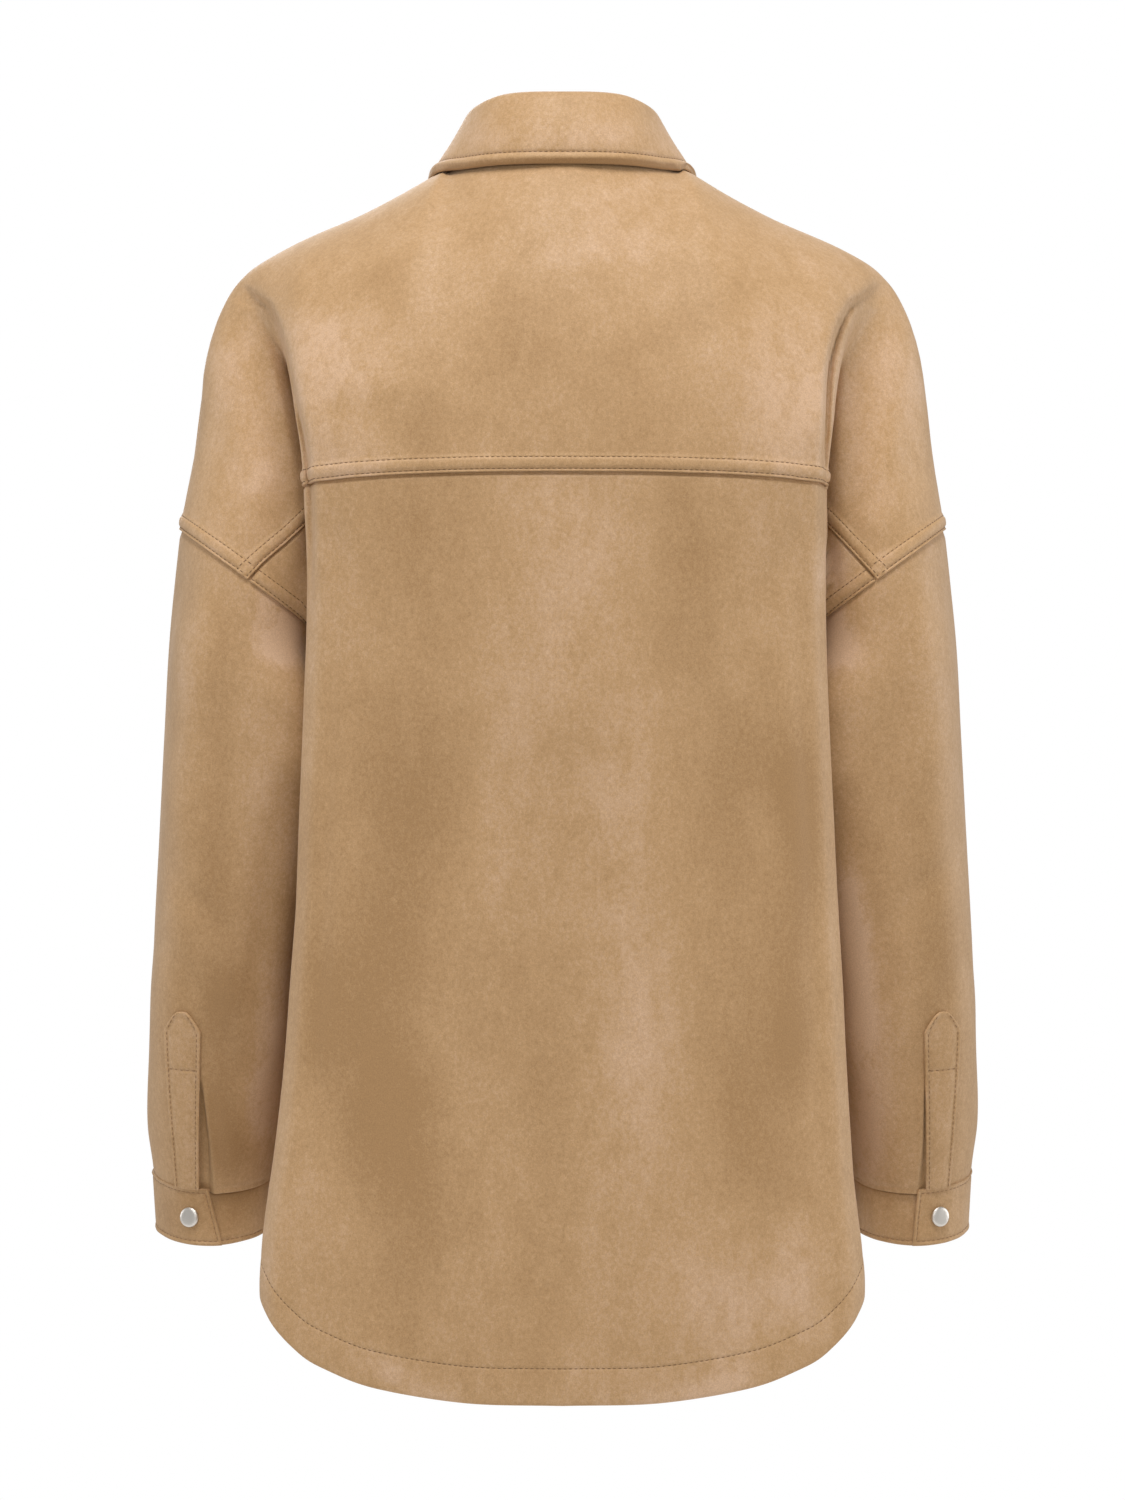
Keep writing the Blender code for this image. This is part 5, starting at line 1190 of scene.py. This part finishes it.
def sleeve_height(side, angle, z):
    """Height of the folds, the slit where the cloth sinks beside the placket, deeper and wider to the cuff, and a
    low bulge above the cuff on the side by the body."""
    wrapped = (angle + 180) % 360 - 180
    height = creases(wrapped * ARC, z, SLEEVE_CREASES[side])
    height += waves(np.sin(np.radians(angle)) * 0.05, z, {"length": (0.09,), "tall": (0.0009,)}, 17 + side)
    height *= ease((SLEEVE["z"][0] - z) / 0.035) * (1 - 0.75 * ease((z - SLEEVE_END - 0.03) / -0.03))
    height = height + squared(wrapped, z)
    middle, half = placket_side(z)
    beside = (wrapped - middle - half) * ARC
    below = np.maximum(PLACKET_BOX_Z - z, 0)
    lip = np.minimum(SLIT[side]["widening"] * below, SLIT[side]["widest"])
    soft = 1.3 * MM + 7 * MM * ease((below - 0.040) / 0.045)
    sink = SLIT[side]["sink"] * ease(below / 0.020)
    slit = -sink * ease((beside + 1.8 * MM) / (1.8 * MM)) * (1 - ease((beside - lip) / soft))
    raised = (0.9 * MM * bump((beside - lip - soft - 1.5 * MM) / (3.5 * MM))
              * ease(below / 0.015) * (1 - ease((below - 0.05) / 0.04)))
    blouse = 2.0 * MM * bump((np.abs(wrapped) - 180) / 70) * bump((z - SLEEVE_END - 0.020) / 0.034)
    return height + slit + raised + blouse


def sleeve_surface(side, angle, z):
    """The creased sleeve: plain form plus height along its normals; also returns the normals."""
    n = sleeve_normals(angle, z)
    return sleeve_section(angle, z) + n * sleeve_height(side, angle, z)[..., None], n


def armhole_ring():
    """Round the left armhole: points, body normals and directions into the body, at the sleeve's angles."""
    down, up = slice(0, BACK_ARM_ROW + 1), slice(FRONT_ARM_ROW - 1, 0, -1)
    ring = np.concatenate([back[down, -1], front[up, -1]])
    n = np.concatenate([back_n[down, -1], front_n[up, -1]])
    into = unit(np.concatenate([back[down, -6] - back[down, -1], front[up, -6] - front[up, -1]]))
    at = np.degrees(np.arctan2((ring[:, 1] - ARMHOLE["y"]) / ARMHOLE["half_y"],
                               (ring[:, 0] - ARMHOLE["x"]) / ARMHOLE["half_x"]))
    everything = np.concatenate([ring, n, into], axis=1)
    turned = np.stack([np.interp(SLEEVE_ANGLES, at, everything[:, k], period=360) for k in range(9)], axis=-1)
    return turned[:, :3], unit(turned[:, 3:6]), unit(turned[:, 6:])


from_top = np.concatenate([[0, 0.8, 1.8, 3, 4.5, 6.5, 9, 12, 16], np.arange(19.5, 355, 3.4)]) * MM
above_end = np.array([9, 7, 5.2, 3.8, 2.7, 1.8, 1, 0.2]) * MM
z_rows = np.concatenate([SLEEVE["z"][0] - from_top, SLEEVE_END + above_end])
from_head = np.concatenate([from_top, np.full(len(above_end), FAR)])
ring, ring_n, ring_in = armhole_ring()


def sleeve(side):
    """One sleeve: the creased surface, joined to the armhole at its head and sunk into the cuff at its end."""
    angle, z = np.broadcast_arrays(SLEEVE_ANGLES[None], z_rows[:, None])
    grid, n = sleeve_surface(side, angle, z)
    meet = 1 - ease(from_head / (15 * MM))[:, None, None]
    grid = grid + (ring - sleeve_section(SLEEVE_ANGLES, SLEEVE["z"][0])) * meet
    n = unit(n + 1.2 * ring_n * (1 - ease(from_head / (8 * MM)))[:, None, None])
    sunk = MM * (1 - ease(from_head / (5 * MM))) + 0.5 * MM * (1 - ease((z_rows - SLEEVE_END) / (4 * MM)))
    grid = grid - n * sunk[:, None, None]
    head = grid[0] + ring_in * 2.2 * MM
    foot = grid[-1] - np.array([0, 0, 2.2 * MM]) - n[-1] * 0.3 * MM
    grid = np.concatenate([head[None], grid, foot[None]])
    n = np.concatenate([n[:1], n, n[-1:]])
    flip = np.array((side, 1, 1))
    thick = np.full(len(grid), CLOTH)
    thick[-4:] = 1.2 * MM
    name = SIDE_NAME[side]
    shell(f"sleeve_{name}_cloth", grid * flip, (grid - n * thick[:, None, None]) * flip, skins["sleeve"],
          f"sleeve_{name}", wrap=True)


for side in (1, -1):
    sleeve(side)

# %% [markdown]
# ## Sleeve plackets
# The slit in the sleeve is bound with a strip that ends in a point, like a little tower. It is sewn round its edge
# and once across, where the slit ends. The strip lies on the creased sleeve, so its points come from the sleeve's
# own surface, moved out.

# %% Plackets on the sleeves
strip_across = np.array([-1, -0.93, -0.86, -0.79, -0.7, -0.45, -0.15, 0.15, 0.45, 0.7, 0.79, 0.86, 0.93, 1.0])
top_z, shoulder_z = PLACKET["z"][0] - MM, PLACKET_SHOULDER_Z
strip_z = np.concatenate([np.linspace(top_z, shoulder_z, 9)[:-1],
                          np.arange(shoulder_z, PLACKET_BOX_Z + 3 * MM, -2.5 * MM),
                          PLACKET_BOX_Z + np.array([2.2, 1.2, 0.5, 0, -0.5, -1.2, -2.2]) * MM,
                          np.arange(PLACKET_BOX_Z - 5 * MM, SLEEVE_END + 1 * MM, -2.6 * MM), [SLEEVE_END + 0.5 * MM]])
strip_reach = 0.22 + 0.78 * np.clip((top_z - strip_z) / (top_z - shoulder_z), 0, 1) ** 0.8


def sleeve_placket(side):
    """The strip: pointed by narrowing its rows to a tenth, with sewn rows near its edge and across."""
    middle, half = placket_side(strip_z[:, None])
    angle = middle + half * strip_reach[:, None] * strip_across
    z = strip_z[:, None] + 0 * angle
    height = np.maximum(sleeve_height(side, angle, z), -0.4 * MM)
    n = sleeve_normals(angle, z)
    grid = sleeve_section(angle, z) + n * (height + 0.25 * MM)[..., None]
    half_width = np.interp(-strip_z, -PLACKET["z"], PLACKET["half"])
    from_side = (1 - np.abs(strip_across)) * (half_width * strip_reach)[:, None]
    to_top = (top_z - strip_z)[:, None]
    tip = np.where(z > shoulder_z, np.minimum(from_side, 0.8 * to_top), from_side)
    edge_sewn = groove(tip, 2.1 * MM, 0.5 * MM, 0.7 * MM) + 0.35 * MM * bump(tip / (1.2 * MM))
    box = groove(np.abs(z - PLACKET_BOX_Z), 0, 0.5 * MM, 0.7 * MM) * ease((1 - np.abs(strip_across)) / 0.15)
    rise = STRIP_CLOTH + 0.15 * MM + edge_sewn + box
    flip = np.array((side, 1, 1))
    outer = grid + n * rise[..., None]
    name = SIDE_NAME[side]
    shell(f"sleeve_placket_{name}_cloth", outer * flip, grid * flip, skins["placket"], f"sleeve_placket_{name}",
          reach=((0.8 * MM, 0.4 * MM), (0.9 * MM, 0.9 * MM)))
    box_row = int(np.argmin(abs(strip_z - PLACKET_BOX_Z)))
    point = [(outer[1:8, c] * flip, n[1:8, c] * flip) for c in (2, -3)]
    lines = point + [(outer[8:, c] * flip, n[8:, c] * flip) for c in (2, -3)] + [
        (outer[box_row, 2:-2] * flip, n[box_row, 2:-2] * flip)]
    stitches(f"sleeve_placket_{name}_stitches", lines, light_thread)


for side in (1, -1):
    sleeve_placket(side)

# %% [markdown]
# ## Cuffs
# A cuff is one band of two layers. It starts at its flap, goes once round the wrist and steps in to end under the
# flap. Its edges are sewn close by, which makes them stand up as a thin roll.

# %% Cuff bands
EDGE_CLOSE = np.array([0, 0.6, 1.2, 1.7, 2.2, 2.9, 4.2, 6.5]) * MM
flap_turn = np.concatenate([EDGE_CLOSE, np.arange(9, 360, 2.6) * MM]) / ARC
CUFF_TURNS = flap_turn[flap_turn < 360 + CUFF_UNDERLAP - 9]
CUFF_TURNS = np.concatenate([CUFF_TURNS, 360 + CUFF_UNDERLAP - EDGE_CLOSE[::-1] / ARC])
CUFF_SEWN = 3    # the row and column of EDGE_CLOSE with thread
CUFF_HEIGHTS = np.concatenate([EDGE_CLOSE, np.arange(9, 27, 2.8) * MM, CUFF_HEIGHT - EDGE_CLOSE[::-1] - 1.2 * MM])


def cuff(side, start, slant):
    """The band's outer surface: the sleeve's last oval, slightly tapered, wound by a turn and a bit."""
    height = (CUFF_HEIGHTS / CUFF_HEIGHT)[:, None]
    turn = CUFF_TURNS[None]
    angle = start + slant * height * (1 - ease(turn / 90)) - turn
    taper = 1 - 0.05 * height
    level = np.full_like(angle, SLEEVE_END)
    oval = sleeve_section(angle, level)
    n = unit(sleeve_normals(angle, level) * (1, 1, 0))
    centre = sleeve_section(np.arange(0, 360, 10.0), np.full(36, SLEEVE_END)).mean(axis=0)
    grid = centre + (oval - centre) * np.stack([taper, taper, np.ones_like(taper)], axis=-1)
    sunk = (BAND_CLOTH + 0.6 * MM) * ease((turn + slant - 290) / 60)
    grid = grid + n * (0.4 * MM - sunk)[..., None] - (CUFF_HEIGHTS[:, None] + 0.3 * MM)[..., None] * (0, 0, 1)
    from_end = np.minimum(turn - turn[0, 0], turn[0, -1] - turn) * ARC
    from_edge = np.minimum(np.minimum(CUFF_HEIGHTS, CUFF_HEIGHTS[-1] - CUFF_HEIGHTS)[:, None], from_end) + 0.6 * MM
    relief = groove(from_edge, 2.4 * MM, 0.5 * MM, 0.7 * MM) + 0.5 * MM * (1 - ease(from_edge / (2.6 * MM)))
    relief += waves(turn * ARC, CUFF_HEIGHTS[:, None], {"length": (0.05, 0.02), "tall": (0.0005, 0.0002)}, 40 + side)
    row, column = np.argmin(abs(CUFF_HEIGHTS - 0.5 * CUFF_HEIGHT)), np.argmin(abs(CUFF_TURNS - 13.5))
    away = np.linalg.norm(grid - grid[row, column], axis=-1)
    relief -= 0.5 * MM * bump(away / (8 * MM))
    flip = np.array((side, 1, 1))
    name = SIDE_NAME[side]
    outer = grid + n * relief[..., None]
    shell(f"cuff_{name}_cloth", outer * flip, (grid - n * BAND_CLOTH) * flip, skins["cuff"], f"cuff_{name}",
          reach=((1.2 * MM, 1.2 * MM), (1.3 * MM, 1.3 * MM)))
    shown = CUFF_TURNS < 365
    lines = [(outer[k][shown][2:] * flip, n[k][shown][2:] * flip) for k in (CUFF_SEWN, -1 - CUFF_SEWN)]
    lines += [(outer[CUFF_SEWN:-CUFF_SEWN, CUFF_SEWN] * flip, n[CUFF_SEWN:-CUFF_SEWN, CUFF_SEWN] * flip)]
    stitches(f"cuff_{name}_stitches", lines, light_thread)


for side, start, slant in zip((1, -1), CUFF_FLAP["angle"], CUFF_FLAP["slant"]):
    cuff(side, start, slant)

# %% [markdown]
# ## Collar
# A shirt collar is two pieces: a stand round the neck and a leaf that folds over it. The leaf falls onto the
# shoulders, so it is first drawn from its fold to its edge and then kept off the body by a Shrinkwrap modifier, whose
# result we read back as plain points.

# %% Collar stand
def stand_point(angle, share):
    """The stand's outer surface between the neckline and its top edge, by degrees from the centre back."""
    wrapped = (angle + 180) % 360 - 180
    low = neckline(wrapped)
    return low + (points(STAND_TOP, wrapped, key="angle") - low) * share


def flat_outward(angle):
    """Level outward directions: the way along the collar, turned a quarter."""
    half = np.full(np.shape(angle) + (1,), 0.5)
    step = stand_point(angle + 1.0, half) - stand_point(angle - 1.0, half)
    return unit(np.stack([-step[..., 1], step[..., 0], 0 * step[..., 0]], axis=-1))


def neck_angle(x):
    """Angle of the front neckline's point at a distance x from the middle."""
    return 180 - math.degrees(math.asin(x / NECK["half_x"]))


stand_angle = np.concatenate([[-360 + neck_angle(STRIP_HALF) + d for d in (1.0, 1.8, 2.8)],
                              np.linspace(-189.5, 187, 150),
                              [360 - neck_angle(UNDERLAP) - d for d in (2.4, 1.5, 0.8)]])
stand_share = np.array([0, 0.04, 0.09, 0.14, 0.22, 0.34, 0.46, 0.58, 0.70, 0.80, 0.88, 0.94, 1.0])
stand_out = flat_outward(stand_angle)
under_end = (BAND_CLOTH + 0.6 * MM) * ease((stand_angle - 150) / 18)
stand = np.stack([stand_point(stand_angle, np.full((len(stand_angle), 1), 0.02 + 0.95 * s)) for s in stand_share])
stand = stand - stand_out[None] * under_end[None, :, None]
stand_relief = groove(stand_share, 0.09, 0.3 * MM, 0.02)[:, None, None]
shell("collar_stand_cloth", stand + stand_out[None] * stand_relief, stand - stand_out[None] * BAND_CLOTH,
      skins["collar"], "collar_stand",
      reach=((0.8 * MM, 0.8 * MM), (MM, MM)))

# %% Collar leaf
leaf_angle = np.concatenate([np.arange(-169.6, -168, 0.5), np.linspace(-167.4, 167.4, 165),
                             np.arange(168.1, 169.7, 0.5)])
leaf_out = flat_outward(leaf_angle)
fold = points(STAND_TOP, leaf_angle, key="angle")
roll_at = np.linspace(0, 3, 10)
roll_out = np.interp(roll_at, range(4), LEAF_ROLL["out"])[:, None, None]
roll_up = smooth(np.arange(4.0), LEAF_ROLL["up"], roll_at)[:, None, None]
roll_rows = fold[None] + leaf_out[None] * roll_out + np.array((0, 0, 1)) * roll_up
leaf_edge = points(LEAF_EDGE, np.abs(leaf_angle), key="angle") * np.stack(
    [np.sign(leaf_angle), np.ones(len(leaf_angle)), np.ones(len(leaf_angle))], axis=-1)
LEAF_CLOSE = np.array([0, 0.7, 1.4, 2.3, 3.6, 4.9, 5.8, 6.4, 7.0, 7.6, 8.4, 10]) * MM + 1.3 * MM
fall = np.linalg.norm(leaf_edge - roll_rows[-1], axis=-1)
near_edge = 1 - LEAF_CLOSE[::-1, None] / fall[None]
share = np.concatenate([np.linspace(0.05, 1, 15)[:-1, None] * near_edge[:1], near_edge])
full = (3.5 - 4.5 * np.sin(np.radians(leaf_angle)) ** 2) * MM
leaf_rows = roll_rows[-1] + (leaf_edge - roll_rows[-1]) * share[..., None] + (
    full * np.sin(math.pi * share))[..., None] * leaf_out[None]
leaf = np.concatenate([roll_rows, leaf_rows])


def kept_off(grid, name, skins_below, clearance):
    """The grid after a Shrinkwrap in Outside mode onto the skins below, pairs (points, normals), read back."""
    spots, faces, start = [], [], 0
    for below_it, up in skins_below:
        number = start + np.arange(below_it[..., 0].size).reshape(below_it.shape[:2])
        quads = corners(number)
        spots.append(below_it.reshape(-1, 3))
        faces += (quads if (face_normals(below_it) * up[:-1, :-1]).sum() > 0 else quads[:, ::-1]).tolist()
        start += number.size
    ground = bpy.data.objects.new("ground", bpy.data.meshes.new("ground"))
    ground.data.from_pydata(np.concatenate(spots).tolist(), [], faces)
    number = np.arange(grid[..., 0].size).reshape(grid.shape[:2])
    loose = bpy.data.objects.new(name, bpy.data.meshes.new(name))
    loose.data.from_pydata(grid.reshape(-1, 3).tolist(), [], corners(number).tolist())
    for made in (ground, loose):
        collection.objects.link(made)
    wrap = loose.modifiers.new("keep off", "SHRINKWRAP")
    wrap.target, wrap.wrap_method, wrap.wrap_mode, wrap.offset = ground, "NEAREST_SURFACEPOINT", "OUTSIDE", clearance
    settled = loose.evaluated_get(bpy.context.evaluated_depsgraph_get()).to_mesh()
    co = np.empty(len(settled.vertices) * 3)
    settled.vertices.foreach_get("co", co)
    for made in (ground, loose):
        bpy.data.objects.remove(made)
    return co.reshape(grid.shape)


lower = slice(len(roll_rows) + 4, None)
skins_below = [(yoke, yoke_n), (left_grid, left_n), (right_grid, right_n)]
leaf[lower] = kept_off(leaf[lower], "leaf_draft", skins_below, 0.8 * MM)
leaf_n = normals_of(leaf)
leaf_n *= np.sign((leaf_n[-6] * leaf_out).sum())
from_edge = np.full(len(leaf), FAR)
from_edge[-len(LEAF_CLOSE):] = LEAF_CLOSE[::-1]
LEAF_END, LEAF_ARC = 170, 1.6 * MM    # degrees at its points, and metres of edge for a degree
from_ends = np.minimum(leaf_angle + LEAF_END, LEAF_END - leaf_angle) * LEAF_ARC
widened = np.where(np.arange(len(leaf)) > len(roll_rows), 1, 9)[:, None]
by_edge = np.minimum(from_edge[:, None], widened * from_ends + MM)
LEAF_SEWN = 7.4 * MM
leaf_relief = groove(by_edge, LEAF_SEWN, 0.75 * MM, 0.9 * MM) + 1.5 * MM * np.sin(
    math.pi * np.clip(by_edge / LEAF_SEWN, 0.1, 1) ** 0.8) + 0.3 * MM * ease((by_edge - LEAF_SEWN) / (6 * MM))
leaf_relief -= 1.5 * MM * (1 - ease((by_edge - MM) / (3.4 * MM)))
leaf_outer = leaf + leaf_n * (BAND_CLOTH + leaf_relief)[..., None]
shell("collar_leaf_cloth", leaf_outer, leaf, skins["collar"], "collar_leaf",
      reach=((0.6 * MM, 1.3 * MM), (1.3 * MM, 1.3 * MM)))
sewn_row = len(leaf) - 1 - int(np.argmin(abs(LEAF_CLOSE - LEAF_SEWN)))
stitches("collar_leaf_stitches", [(leaf_outer[sewn_row, 3:-3], leaf_n[sewn_row, 3:-3])], thread)

# %% [markdown]
# ## Snaps
# A snap cap is a thin turned cup of brushed metal, pressed through the cloth. The solid model holds its place and
# direction, so the fine cap is made round the same centre and axis: a profile spun by an outer product.

# %% Snap caps
steel, shader = principled("brushed_steel", {"Base Color": shades((214, 209, 202), 1), "Metallic": 1.0})
place = steel.node_tree.nodes.new("ShaderNodeTexCoord")
brushed = steel.node_tree.nodes.new("ShaderNodeTexNoise")
brushed.inputs["Scale"].default_value = 900
spread_out = steel.node_tree.nodes.new("ShaderNodeMapping")
spread_out.inputs["Scale"].default_value = (1, 1, 0.15)
tone = steel.node_tree.nodes.new("ShaderNodeMapRange")
tone.inputs["To Min"].default_value, tone.inputs["To Max"].default_value = 0.34, 0.5
for a, b in ((place.outputs["Object"], spread_out.inputs["Vector"]),
             (spread_out.outputs["Vector"], brushed.inputs["Vector"]), (brushed.outputs["Fac"], tone.inputs["Value"]),
             (tone.outputs["Result"], shader.inputs["Roughness"])):
    steel.node_tree.links.new(a, b)

CAP = table("radius height", (0.0, 2.05), (0.25, 2.04), (0.50, 2.00), (0.70, 1.90), (0.80, 1.78), (0.88, 1.58),
            (0.94, 1.28), (0.985, 0.90), (1.0, 0.50), (0.99, 0.18), (0.95, -0.15), (0.90, -0.9))
CAP_POINTS = 40    # round the cap


def snap_cap(node):
    """A cap for a CAD node: its axis is the way in which the node is thinnest, its height follows CAP."""
    cad = bpy.data.objects[node]
    co = np.empty(len(cad.data.vertices) * 3)
    cad.data.vertices.foreach_get("co", co)
    co = co.reshape(-1, 3)
    middle = (co.max(axis=0) + co.min(axis=0)) / 2
    axis = np.linalg.svd(co - co.mean(axis=0), full_matrices=False)[2][2]
    axis *= np.sign((axis * (co.mean(axis=0) - middle)).sum()) or 1.0
    side = unit(np.cross(axis, (0, 0, 1.0)))
    up = np.cross(side, axis)
    reach = (co - middle) @ axis
    radius = np.abs((co - middle) @ side).max()
    turn = np.linspace(0, 2 * math.pi, CAP_POINTS + 1)[:-1]
    ring = side[None] * np.cos(turn)[:, None] + up[None] * np.sin(turn)[:, None]
    spots = (middle + axis * (reach.min() + CAP["height"][1:, None, None] * MM)
             + ring[None] * (CAP["radius"][1:, None, None] * radius)).reshape(-1, 3)
    spots = np.concatenate([spots, [middle + axis * (reach.min() + CAP["height"][0] * MM)]])
    number = np.arange(len(spots) - 1).reshape(-1, CAP_POINTS)
    top = np.stack([np.full(CAP_POINTS, len(spots) - 1), number[0], np.roll(number[0], -1)], axis=-1)
    mesh = bpy.data.meshes.new(node + "_cap")
    mesh.from_pydata(spots.tolist(), [], tube_faces(number).tolist() + top.tolist())
    mesh.shade_smooth()
    mesh.materials.append(steel)
    made = bpy.data.objects.new(node + "_cap", mesh)
    collection.objects.link(made)
    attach(made, "root")
    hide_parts(node)


snaps = [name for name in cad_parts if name.startswith("snap_")]
for name in snaps:
    snap_cap(name)
print("snap caps:", len(snaps))
